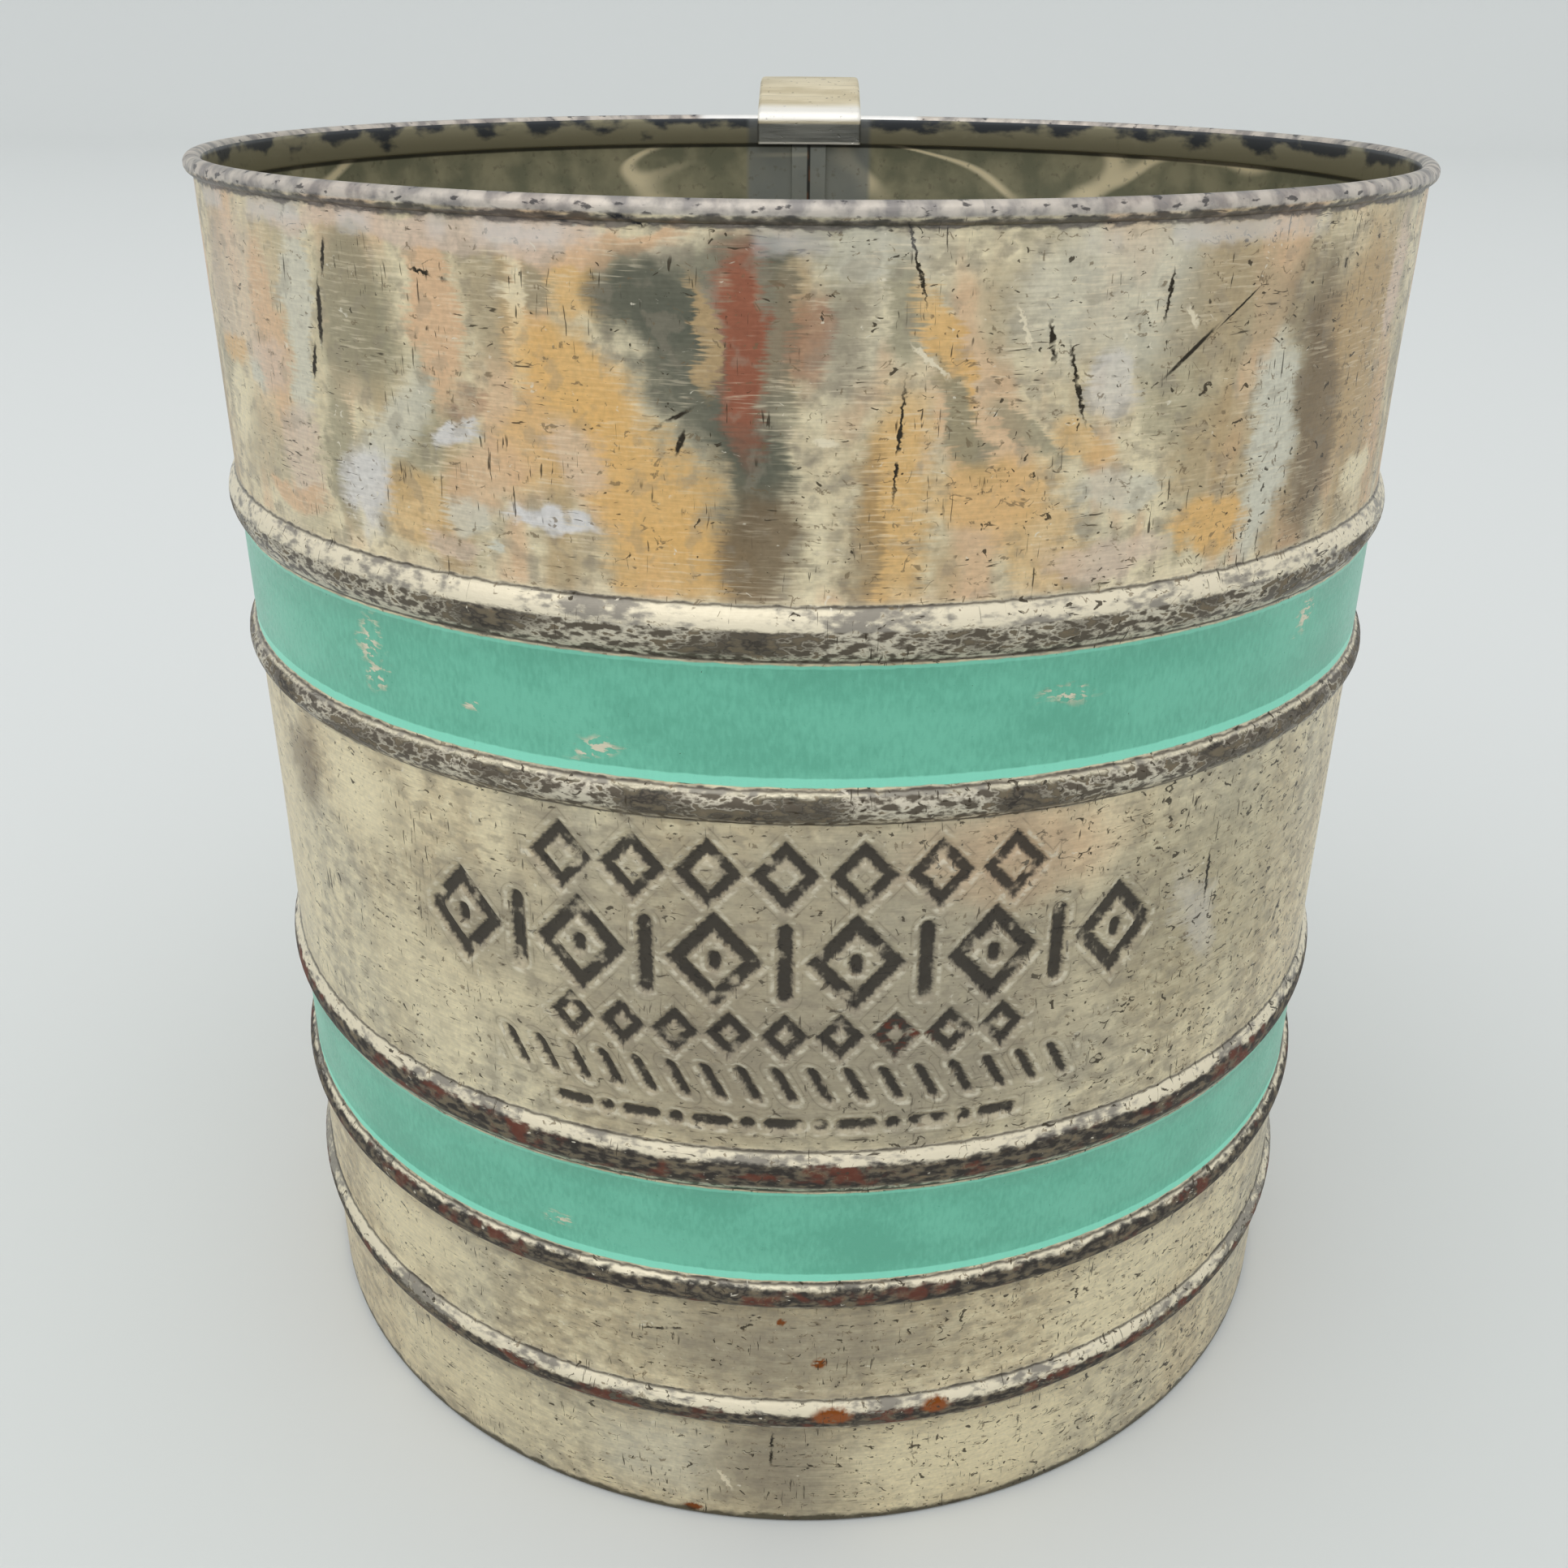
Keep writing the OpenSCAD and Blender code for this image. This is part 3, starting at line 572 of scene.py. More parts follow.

# Above the shoulder bead the tin runs in tall flames of amber, slate and brick red, partly real tarnish
# and partly painted reflection, each as [middle u, middle z, half width, half height, turn leftwards, colour,
# strength]
flames = [(-52, 120, 13, 16, 0, cream, 0.4), (58, 122, 9, 14, 0, tan, 0.5),
          (-61, 127, 9, 7, 0, pink, 0.5), (-53.5, 124, 2.4, 8, 6, peach, 0.75),
          (-55, 121, 4, 2.4, 20, pink, 0.7), (-64, 121, 4, 1.8, 0, amber, 0.6),
          (-64, 116, 3.4, 3, 0, cream, 0.9), (-58, 113, 6, 4, 0, dun, 0.5),
          (-57.5, 119.5, 1.9, 1.6, 0, silver, 0.9), (-48.5, 126, 2, 10, -5, silver, 0.85),
          (-50, 114, 3, 5, 0, pink, 0.75), (-53, 109.5, 5, 1.4, 0, peach, 0.8),
          (-40, 127.5, 5.4, 6.5, 0, olive, 0.85), (-44, 115, 2, 7, -8, olive, 0.7),
          (-37.5, 117, 2, 8, -38, silver, 0.7), (-33.5, 116, 2.4, 5, -30, olive, 0.55),
          (-31, 128, 1.9, 7, 0, peach, 0.95), (-28.6, 121, 1.3, 2, 0, brick, 0.4),
          (-26.5, 129.5, 1.8, 5, 5, dun, 0.8), (-23.6, 128, 1, 6, 3, cream, 0.8),
          (-21.6, 131.5, 1.6, 2.4, 0, olive, 0.75), (-17.5, 132, 2.8, 3, 0, amber, 0.75),
          (-32, 134.4, 20, 1.2, 0, pink, 0.8), (-14.5, 134.2, 6, 0.7, 8, peach, 0.95),
          (-18.5, 123.5, 7, 3.8, -35, amber, 0.9), (-13.5, 116, 7.5, 4, -52, amber, 0.9),
          (-11, 110, 5, 4, 0, amber, 0.75), (-22, 118, 4, 3.4, 0, amber, 0.6),
          (-18.5, 117.5, 2.6, 2.4, 0, pink, 0.55), (-27, 115, 4, 2.4, 30, peach, 0.75),
          (-34, 111.5, 5, 3, 0, amber, 0.55), (-41, 112, 3.4, 3.6, -30, frost, 0.85),
          (-30, 118.5, 2.2, 1, 0, frost, 0.9), (-28.5, 112.5, 3, 1.5, 15, silver, 0.8),
          (-20.5, 112.4, 3.6, 1, -8, frost, 1.0), (-31, 109.5, 2.6, 1.4, 0, pink, 0.7),
          (-26.5, 109.5, 0.9, 1, 0, silver, 1.0), (-11.5, 130.5, 5, 3.4, -14, slate, 0.95),
          (-7.6, 123.5, 8.4, 3.6, -56, slate, 0.9), (-4.5, 117, 2.6, 5, 0, slate, 0.85),
          (-2, 127.5, 1.6, 7, 3, slate, 0.7), (-4, 110.5, 3.6, 5, 0, umber, 0.85),
          (-5, 133.4, 5, 1.6, 8, slate, 0.75), (-7.8, 127.5, 0.9, 5, 0, tan, 0.85),
          (-4.8, 126.5, 2, 7.6, 0, brick, 1.0), (0.8, 127.5, 1.6, 3.4, 0, brick, 0.55),
          (5, 133, 4, 1.8, 0, silver, 0.6), (3.5, 127, 1.8, 5, 0, taupe, 0.5),
          (7.5, 129.5, 1.3, 4, 0, olive, 0.7), (11, 125, 1.3, 7, 18, amber, 0.85),
          (12.3, 121, 1.3, 5.5, 30, olive, 0.9), (17.5, 120.5, 1, 4.4, 50, olive, 0.7),
          (15.5, 130, 3.2, 3.4, 0, dun, 0.55), (7.2, 115, 3.2, 8, 0, amber, 0.8),
          (15.5, 115, 5, 3.4, 0, amber, 0.65), (4.6, 113, 1.4, 7, 0, umber, 0.45),
          (20, 110, 4, 3.4, 0, amber, 0.55), (23, 118.6, 3.4, 1.2, -30, amber, 0.6),
          (25, 130, 9, 6, 0, silver, 0.6), (25.5, 123, 2.6, 2.2, 0, frost, 0.55),
          (27, 114.5, 4, 1.8, 10, silver, 0.7), (26, 108.8, 6, 1.4, 0, pink, 0.7),
          (37, 128, 7, 5, 0, dun, 0.6), (36, 117, 5, 5, 0, tan, 0.5),
          (37, 110.3, 4.4, 2.2, 0, amber, 0.9), (43, 116.5, 2.9, 8.6, -4, silver, 1.0),
          (50, 119, 4.4, 13, 0, umber, 0.85), (46, 129.5, 4, 4, -30, umber, 0.5),
          (57, 127, 5.4, 7, 0, tan, 0.8), (58, 117, 5, 5, 0, tan, 0.7),
          (61, 111.5, 3.4, 2, 0, cream, 0.85), (64.5, 128, 2.4, 6, 0, pink, 0.8)]
upper = streaks.from_to(0.52, 0.62, 0.6).blend(tin, tan)
flare = flat.grain(9, detail=3, along=(1, 2.4, 1), seed=15)
upper = flare.from_to(0.52, 0.62, 0.75).blend(upper, peach)
upper = flare.from_to(0.46, 0.38, 0.5).blend(upper, olive)
# Each flame paints tarnish and painted reflection together
for mid_u, mid_z, half_u, half_z, turn, colour, strength in flames:
    upper = patch(mid_u, mid_z, half_u, half_z, turn, strength=strength).blend(upper, colour)
upper = mottle.from_to(0.54, 0.64, 0.35).blend(upper, taupe)
upper = (brushed.from_to(0.52, 0.68) * reach.from_to(0.46, 0.6) * 0.4).blend(upper, dye(226, 212, 184))
tin = z.from_to(106.2, 107.0).blend(tin, upper)

# Lower down the plate is cream at the sides and greyer in the middle, in real stains and painted reflection,
# with a painted highlight at the upper left
stains_and_reflections = [(-60, 80, 3, 5, -17, umber, 0.7), (-47, 81, 6, 5, 27, cream, 0.9),
          (-70, 66, 8, 18, 0, cream, 0.5), (-40, 62, 10, 8, 0, cream, 0.5),
          (3, 70, 28, 15, 0, taupe, 0.5), (2, 60, 22, 8, 0, taupe, 0.5), (-32, 72, 6, 5, 0, taupe, 0.5),
          (20, 82, 9, 4, 0, peach, 0.6), (46, 72, 14, 14, 0, olive, 0.4), (0, 25, 16, 6, 0, taupe, 0.7),
          (-48, 26, 10, 5, 0, cream, 0.8), (-14, 8, 7, 6, 0, silver, 0.5), (-1, 8, 7, 7, 0, taupe, 0.8),
          (20, 8, 13, 6, 0, cream, 0.8), (-40, 8, 14, 5, 0, cream, 0.6), (44, 25, 14, 5, 0, cream, 0.5),
          (42, 70, 2, 6, 20, frost, 0.35)]
lower = tin
for mid_u, mid_z, half_u, half_z, turn, colour, strength in stains_and_reflections:
    lower = patch(mid_u, mid_z, half_u, half_z, turn, 0.6, strength).blend(lower, colour)
tin = z.from_to(88, 86).blend(tin, lower)

# Fine lights and darks over all of it
darker = (0.8, 0.8, 0.8, 1)
lighter = (1.16, 1.16, 1.16, 1)
light = (brush * 0.3 + mottle * 0.5 + speck * 0.4 - 0.1).blend(darker, lighter)
tin = tin.node("ShaderNodeMix", {0: 1.0, 6: tin, 7: light}, out=2, data_type="RGBA", blend_type="MULTIPLY")

# Each bead from its top: a thin dark line of painted crease shade, a pale crest of painted highlight, ragged
# grime with rust in it that also paints the shade under the crest, a pale line and a dark one of painted
# crease shade. Here, each as [bead, top of the grime and shade and its foot in millimetres from the bead's
# middle, how full of grime and shade it is, how rusty]
bead_looks = [(skirt_bead, 0.8, -1.1, 0.8, 0.9), (lower_bead, 1.2, -1.0, 1.0, 0.8),
              (waist_bead, 1.2, -1.5, 1.2, 0.9), (upper_bead, 1.4, -1.1, 0.45, 0),
              (shoulder_bead, 0.7, -1.7, 0.4, 0)]
# The crest's pale tone is a painted highlight, broken by grey where it fades
crest_shine = (reach + (crumbs - 0.5) * 0.7).from_to(0.36, 0.54)
crest_highlight_tone = crest_shine.blend(dye(150, 144, 132), dye(230, 220, 194))
low_tone = crumbs.from_to(0.42, 0.56).blend(dye(96, 88, 76), dye(206, 198, 178))
grime_and_shade_tone = crumbs.from_to(0.44, 0.64).blend(dye(36, 30, 24), dye(92, 80, 58))
rusting = flat.grain(4, detail=5, along=(2, 1, 1), seed=47).from_to(0.49, 0.57)
rusting = rusting * mottle.from_to(0.4, 0.56)
thick = (reach - 0.5) * 0.8
neat_z = z + (crumbs - 0.5) * 0.5
rough_z = z + (crumbs - 0.5) * 1.5 + (reach - 0.5) * 0.8
bead_grime_and_shade_all = []
for (mid, tall), high, low, full, rusty in bead_looks:
    middle = mid * 1000
    half = tall * 500
    tin = zone(middle - half, middle + half, neat_z, 0.1).blend(tin, low_tone)
    tin = zone(middle + high - 0.2, middle + half, neat_z, 0.1).blend(tin, crest_highlight_tone)
    # The dark mask below the crest paints grime and shade together
    clumps = (crumbs + thick).from_to(0.66 - full * 0.4, 0.74 - full * 0.4)
    dark = zone(middle + low, middle + high, rough_z, 0.25) * clumps
    # The thin dark lines at the bead's top and foot are painted crease shade
    crease_shade_lines = greater(zone(middle + half - 0.2, middle + half, neat_z, 0.1),
                    zone(middle - half, middle - half + 0.35, neat_z, 0.1))
    tin = (dark * 0.92).blend(tin, grime_and_shade_tone)
    if rusty:
        tin = (dark * rusting * rusty).blend(tin, rust)
    tin = (crease_shade_lines * 0.8).blend(tin, dye(66, 58, 48))
    bead_grime_and_shade_all.append(dark)
bead_grime_and_shade = most(bead_grime_and_shade_all)

# Single rust spots, and a dark line of painted contact shade where the tin stands
rust_places = [(4, 16.9, 2, 0.9), (15, 17.1, 1.4, 0.8), (2.6, 23.6, 0.7, 0.7), (-1.4, 29.2, 0.4, 0.5),
               (-11, 1.1, 1, 0.5)]
rust_spots = most([patch(*spot, place=jittery) for spot in rust_places])
tin = (rust_spots * crumbs.from_to(0.3, 0.42)).blend(tin, dye(134, 72, 24))
# The foot line is painted contact shade
foot_line = (z + (mottle - 0.5) * 2).from_to(1.3, 0.7, 0.85)
tin = foot_line.blend(tin, dye(54, 50, 36))

# Cracks in the tin coat are long and thin, hairs are crooked, pits lie in crowds and are more
# on the right, and scuffs are pale
worn = u.from_to(-40, 60, 0.05) * u.from_to(110, 75)
upright = flat.grain(0.5, detail=2, along=(0.6, 5, 1), distortion=0.7, seed=17).from_to(0.64, 0.69)
across = flat.grain(0.45, detail=2, along=(5, 0.6, 1), distortion=0.9, seed=21).from_to(0.64, 0.69)
crowd = flat.grain(7, detail=3, seed=19)
cracks = upright * crowd.from_to(0.52, 0.58) + across * crowd.from_to(0.46, 0.4)
crooked = abs(flat.grain(2.8, detail=4, distortion=0.8, seed=23) - 0.5).from_to(0.02, 0.006)
hairs = crooked * (crumbs + worn).from_to(0.56, 0.62)
spread = z.from_to(104, 90, 0.03)
blots = flat.grain(0.9, detail=4, along=(1.4, 1, 1), distortion=1.2, seed=25) + worn + spread
blots = blots.from_to(0.695, 0.73)
pale = flat.grain(0.9, detail=4, along=(1.6, 1, 1), distortion=1.6, seed=27).from_to(0.67, 0.71)
pale = pale * mottle.from_to(0.5, 0.42)
tin = (pale * 0.7).blend(tin, dye(230, 222, 202))
tin = (hairs * 0.7).blend(tin, dye(118, 102, 78))
tin = most([cracks * 0.85, blots * 0.9]).blend(tin, dye(60, 52, 40))


def scratch(u0, z0, u1, z1, width):
    """1 along a scratch from one point of the wall to another."""
    turn = math.degrees(math.atan2(z1 - z0, u1 - u0))
    half_length = math.hypot(u1 - u0, z1 - z0) / 2
    return patch((u0 + u1) / 2, (z0 + z1) / 2, half_length, width, turn, place=jittery)


# Scratches, as [u and z of one end, u and z of the other, half width]
deep_ends = [(-42.8, 133.2, -43.6, 130, 0.22), (-44.3, 129.5, -45, 124, 0.3),
             (-46, 124, -46.8, 121, 0.24), (19, 128.5, 19.6, 125.5, 0.26),
             (20.9, 126.5, 22.7, 120.6, 0.2), (-12, 120.3, -9, 122, 0.2),
             (-9.4, 120.4, -10.2, 118.4, 0.26), (30, 123.6, 34.6, 127.2, 0.2),
             (35, 127.2, 39, 130, 0.1), (29.2, 128, 29.6, 132, 0.16), (7.4, 136, 9, 130, 0.14),
             (7.6, 124, 7, 115, 0.16), (-33, 131.4, -29.5, 130.6, 0.16), (43, 77, 43.2, 72, 0.24),
             (58.6, 62.6, 60, 64.8, 0.4), (-16, 26.4, -11.6, 27.2, 0.18), (-2.2, 13.4, -2.4, 8.8, 0.2),
             (-14.6, 136.2, -12, 135.4, 0.2)]
deep = most([scratch(*ends) for ends in deep_ends])
tin = (deep * mottle.from_to(0.34, 0.46)).blend(tin, dye(52, 46, 36))
shiny_ends = [(8, 127, 11, 124.6, 0.22), (16.2, 129.8, 17.6, 126.6, 0.18),
              (31.4, 129, 32.6, 127.4, 0.3), (-8.2, 7.2, -6.6, 4.6, 0.24),
              (0.6, 119.8, 2.6, 119.6, 0.3)]
shiny = most([scratch(*ends) for ends in shiny_ends])
tin = (shiny * 0.85).blend(tin, dye(236, 224, 196))

# Enamel, with a bright edge below and a thin one above, and chips as [u, z, half width, half height]
edge_z = z + (crumbs - 0.5) * 0.3
band_all = []
edge_all = []
for low in (upper_band, lower_band):
    base = low * 1000
    top = base + band_height * 1000
    here = zone(base, top, edge_z, 0.08)
    band_all.append(here)
    edges = greater(edge_z.from_to(base + 1.0, base + 0.8), edge_z.from_to(top - 0.4, top - 0.25, 0.6))
    edge_all.append(edges * here)
enamel = most(band_all)
chip_spots = [(-43.5, 98, 1.5, 1.8), (-42.5, 94.6, 1.2, 2), (-31, 93.8, 1.2, 0.8),
              (-18.5, 93.2, 1.8, 1), (23, 96.5, 2.4, 1), (-25, 38.2, 1.2, 0.8), (54, 98.5, 1, 1.6),
              (90, 96, 2, 2), (-120, 40, 2, 1.4)]
chips = most([patch(*spot, soft=0.6) for spot in chip_spots]) * crumbs.from_to(0.5, 0.54)
enamel = enamel * (1 - chips)
weave_marks = flat.grain(0.35, detail=2, along=(1.4, 3.4, 1), distortion=0.4, seed=53)
mint = (reach * 0.6 + weave_marks * 0.4).from_to(0.36, 0.64).blend(dye(90, 168, 141), dye(106, 186, 158))
mint = (most(edge_all) * 0.75).blend(mint, dye(136, 222, 194))
ticks = flat.grain(0.6, detail=3, distortion=1.5, seed=59).from_to(0.74, 0.77) * mottle.from_to(0.5, 0.55)
mint = (ticks * 0.85).blend(mint, dye(44, 74, 58))
tin = enamel.blend(chips.blend(tin, dye(222, 214, 190)), mint)

# The pressed strokes hold black grime, with a bright rub of wear and painted highlight and a soft painted
# shade round their edges
stroke = pressed(u, z)
sunk = (stroke + (fine - 0.5) * 0.7).from_to(0.1, -0.3)
# The pale rub along the strokes' edges is wear and painted highlight together
rubbed = stroke.from_to(0.1, 0.25) * stroke.from_to(0.7, 0.4) * crumbs.from_to(0.4, 0.6)
tin = stroke.from_to(3, 0.5, 0.3).blend(tin, taupe)
tin = (rubbed * finer.from_to(0.62, 0.44) * 0.6).blend(tin, dye(230, 222, 200))
shade = stroke.from_to(0.95, 0.8) * stroke.from_to(0.7, 0.8) * mottle.from_to(0.42, 0.58)
tin = (shade * 0.35).blend(tin, dye(98, 88, 72))
tin = (sunk * mottle.from_to(0.3, 0.44, 0.92)).blend(tin, grime)
tin = (sunk * patch(9.5, 64, 2.4, 1.6) * crumbs.from_to(0.45, 0.6)).blend(tin, rust)

# The rolled rim is pale with dark pits, over a ragged dark line of painted shade under the roll, and
# bright with solder by the handle
rim_mm = (rim_at[1] - rim_r) * 1000
ragged_z = z + (crumbs - 0.5) * 1.4
under = zone(rim_mm - 0.3, rim_mm + 0.6, ragged_z, 0.2)
misted = zone(rim_mm - 2, rim_mm - 0.3, rough_z, 0.6) * streaks.from_to(0.46, 0.6)
tin = (misted * 0.5).blend(tin, frost)
rolled = z.from_to(rim_mm + 0.5, rim_mm + 0.8)
roll_tone = mottle.from_to(0.4, 0.62).blend(dye(198, 190, 180), dye(140, 136, 134))
tin = (rolled * 0.9).blend(tin, roll_tone)
tin = (rolled * crumbs.from_to(0.6, 0.66) * 0.8).blend(tin, dye(48, 48, 52))
# The ragged dark line under the roll is painted shade
under_tone = crumbs.from_to(0.42, 0.66).blend(dye(38, 40, 46), dye(112, 106, 102))
tin = (under * 0.85).blend(tin, under_tone)
soldered = abs(u).from_to(back_u - 17, back_u - 15) * z.from_to(rim_mm, rim_mm + 0.4)
tin = (soldered * 0.85).blend(tin, dye(238, 238, 234))

# Grime, with the painted shade along the beads, is dull and rough, the enamel is glossy and isn't metal
grime_and_shade_cover = greater(bead_grime_and_shade * (1 - enamel), sunk * 0.9)
bare = (1 - enamel) * (1 - grime_and_shade_cover * 0.8)
coat(wall_shader, colour=tin, metallic=bare * 0.8,
     roughness=grime_and_shade_cover * 0.3 + (speck * 0.14 + 0.34) * (1 - enamel * 0.2),
     bump=brushed * 0.12 + fine * 0.2)

# Inside the tin the plate has gone olive grey, with pale curved gleams of painted reflection, a hem that is
# dark except by the handle with a thin painted shadow under it, and a smooth blue-grey stretch along the seam
inside_paint, inside_shader, place = finish("tin_inside", metallic=0.55)
u, z, flat = round_tin(place)
hem_mm = hem_low * 1000
warped = flat.grain(30, detail=1, along=(2.5, 1, 1), seed=2)
swirl = flat.grain(26, detail=1, along=(2.2, 0.8, 1), distortion=1.2, seed=4) - 0.5
swirl = abs(swirl + (warped - 0.5) * 0.3)
gleam = swirl.from_to(0.03, 0.004) * flat.grain(22, detail=1, seed=6).from_to(0.36, 0.52)
clouds = flat.grain(5, detail=5, seed=8)
dull = clouds.from_to(0.35, 0.65).blend(dye(132, 132, 108), dye(170, 164, 134))
around_seam = abs(u).from_to(back_u - 9.5, back_u - 8.5)
dull = gleam.blend(dull, dye(255, 240, 200))
dull = (around_seam * 0.8).blend(dull, dye(142, 146, 142))
dusted = flat.grain(1.2, detail=4, seed=10).from_to(0.58, 0.7, 0.5)
dull = dusted.blend(dull, dye(104, 98, 78))
seam_line = abs(u).from_to(back_u - 0.3, back_u - 0.1)
seam_tone = clouds.from_to(0.5, 0.56).blend(dye(30, 28, 24), dye(96, 54, 26))
dull = (seam_line * 0.9).blend(dull, seam_tone)
hem_shade = z.from_to(hem_mm - 0.25, hem_mm - 0.1)
hem_clouds = flat.grain(3, detail=4, along=(2, 1, 1), seed=12)
hem_tone = (hem_clouds - (z - hem_mm - 2) * 0.11).from_to(0.38, 0.54)
hem_tone = hem_tone.blend(dye(60, 63, 66), dye(146, 140, 114))
hem_tone = (around_seam * 0.8).blend(hem_tone, dye(112, 114, 112))
dull = hem_shade.blend(dull, hem_tone)
# A thin dark line of painted shadow under the hem
hem_shadow_line = abs(z - (hem_mm - 0.35)).from_to(0.35, 0.1, 0.85)
dull = hem_shadow_line.blend(dull, dye(24, 22, 18))
coat(inside_shader, colour=dull, roughness=dusted * 0.3 + 0.36)
put_on(body_wall, wall_paint, inside_paint)
for face in body_wall.data.polygons:
    middle = face.center
    outwards = face.normal.x * middle.x + face.normal.y * (middle.y - axis_y)
    face.material_index = 1 if outwards < 0 and middle.z < rim_at[1] + 0.0004 else 0
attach(body_wall, "frame")
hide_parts("body_shell")


# The lock seam
# The sheet's two edges are hooked together and pressed flat down the inside of the back, in
# stretches between the beads that hold the screens. It is tinplate like the wall.
seam_w = 0.005
seam_turn = math.degrees(seam_w / wall_r)
seam_ends = [foot_hem]
for mid, tall in (skirt_bead, waist_bead, upper_bead):
    seam_ends += [mid - tall / 2, mid + tall / 2]
seam_ends += [hem_low]
seam_parts = []
for low, high in zip(seam_ends[::2], seam_ends[1::2]):
    outline = [(wall_r - sheet, low), (wall_r - sheet, high), (wall_r - 2 * sheet, high - sheet / 2),
               (wall_r - 2 * sheet, low + sheet / 2)]
    seam_parts.append(turned("lock_seam", outline, turns=((seam_turn, 6),), start=180 - seam_turn / 2))
bpy.ops.object.select_all(action="DESELECT")
for part in seam_parts:
    part.select_set(True)
bpy.ops.object.join()
lock_seam = bpy.context.object
lock_seam.name = "lock_seam"
cut_slot(lock_seam)
bpy.ops.object.shade_smooth_by_angle(angle=math.radians(30))
put_on(lock_seam, inside_paint)
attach(lock_seam, "frame")


# The screens' rims and eyelets
# Each rim is a thin ring of bright tin folded over the edge of a woven screen and sprung into
# its bead. An eyelet is clinched through each screen's middle for the shaft to turn in.
def worn_metal(name, light_tone, dark_tone, marks=0.5, roughness=0.38, along=(1, 1, 1), size=0.006):
    """Old bare metal: two tones in soft clouds, fine pits and a little rust in them."""
    paint, shader, place = finish(name)
    clouds = place.grain(size, detail=5, along=along)
    tone = clouds.from_to(0.36, 0.64).blend(dye(*dark_tone), dye(*light_tone))
    fine = place.grain(0.0007, detail=3, seed=1)
    spots = fine.from_to(0.56, 0.68) * place.grain(0.009, detail=3, seed=2).from_to(0.45, 0.65) * marks
    tone = spots.blend(tone, dye(70, 58, 44))
    tone = (place.grain(0.004, detail=4, seed=3).from_to(0.64, 0.72) * marks).blend(tone, dye(122, 82, 48))
    rubbed = place.grain(0.0012, detail=2, along=(8, 1, 1), seed=4).from_to(0.62, 0.72) * 0.35
    tone = rubbed.blend(tone, dye(222, 218, 204))
    coat(shader, colour=tone, roughness=spots * 0.3 + clouds * 0.16 + (roughness - 0.08),
         metallic=0.9 - spots * 0.6, bump=fine * 0.25 - spots * 0.5)
    return paint


ring_paint = worn_metal("screen_rim_tin", (190, 184, 166), (128, 122, 106))
ring_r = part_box("screen_ring_top")[1].x
ring_in = ring_r - 0.0038
ring_half = (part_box("screen_ring_top")[1].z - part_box("screen_ring_top")[0].z) / 2
weave_half = 0.0003
fold = 0.0002
grip = 0.001
for level in ("top", "middle", "bottom"):
    z = seat_of("screen_ring_" + level)
    outline = ([(ring_in, z - weave_half), (ring_in, z - ring_half + fold)]
               + arc((ring_in + fold, z - ring_half + fold), fold, 180, 270, 2)
               + arc((ring_r - ring_half, z), ring_half, -90, 90, 8)
               + arc((ring_in + fold, z + ring_half - fold), fold, 90, 180, 2)
               + [(ring_in, z + weave_half), (ring_r - grip, z + weave_half),
                  (ring_r - grip, z - weave_half)])
    screen_rim = turned("screen_rim_" + level, outline)
    bpy.ops.object.shade_smooth_by_angle(angle=math.radians(40))
    put_on(screen_rim, ring_paint)
    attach(screen_rim, "frame")
    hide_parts("screen_ring_" + level)

eyelet_paint = worn_metal("eyelet_tin", (198, 190, 168), (142, 134, 114))
eyelet_low, eyelet_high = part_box("eyelet_top")
eyelet_r = (eyelet_high.x - eyelet_low.x) / 2
eyelet_half = (eyelet_high.z - eyelet_low.z) / 2
bore_r = (shaft_high.x - shaft_low.x) / 2 + 0.00005
lip = 0.0003
for level in ("top", "middle", "bottom"):
    z = seat_of("screen_ring_" + level)
    outline = ([(bore_r, z - eyelet_half + lip)]
               + arc((bore_r + lip, z - eyelet_half + lip), lip, 180, 270, 3)
               + arc((eyelet_r - lip, z - eyelet_half + lip), lip, -90, 90, 5)
               + [(bore_r + grip, z - weave_half), (bore_r + grip, z + weave_half)]
               + arc((eyelet_r - lip, z + eyelet_half - lip), lip, -90, 90, 5)
               + arc((bore_r + lip, z + eyelet_half - lip), lip, 90, 180, 3))
    eyelet_ring = turned("eyelet_ring_" + level, outline, turns=((360, 48),))
    bpy.ops.object.shade_smooth_by_angle(angle=math.radians(50))
    put_on(eyelet_ring, eyelet_paint)
    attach(eyelet_ring, "frame")
    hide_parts("eyelet_" + level)

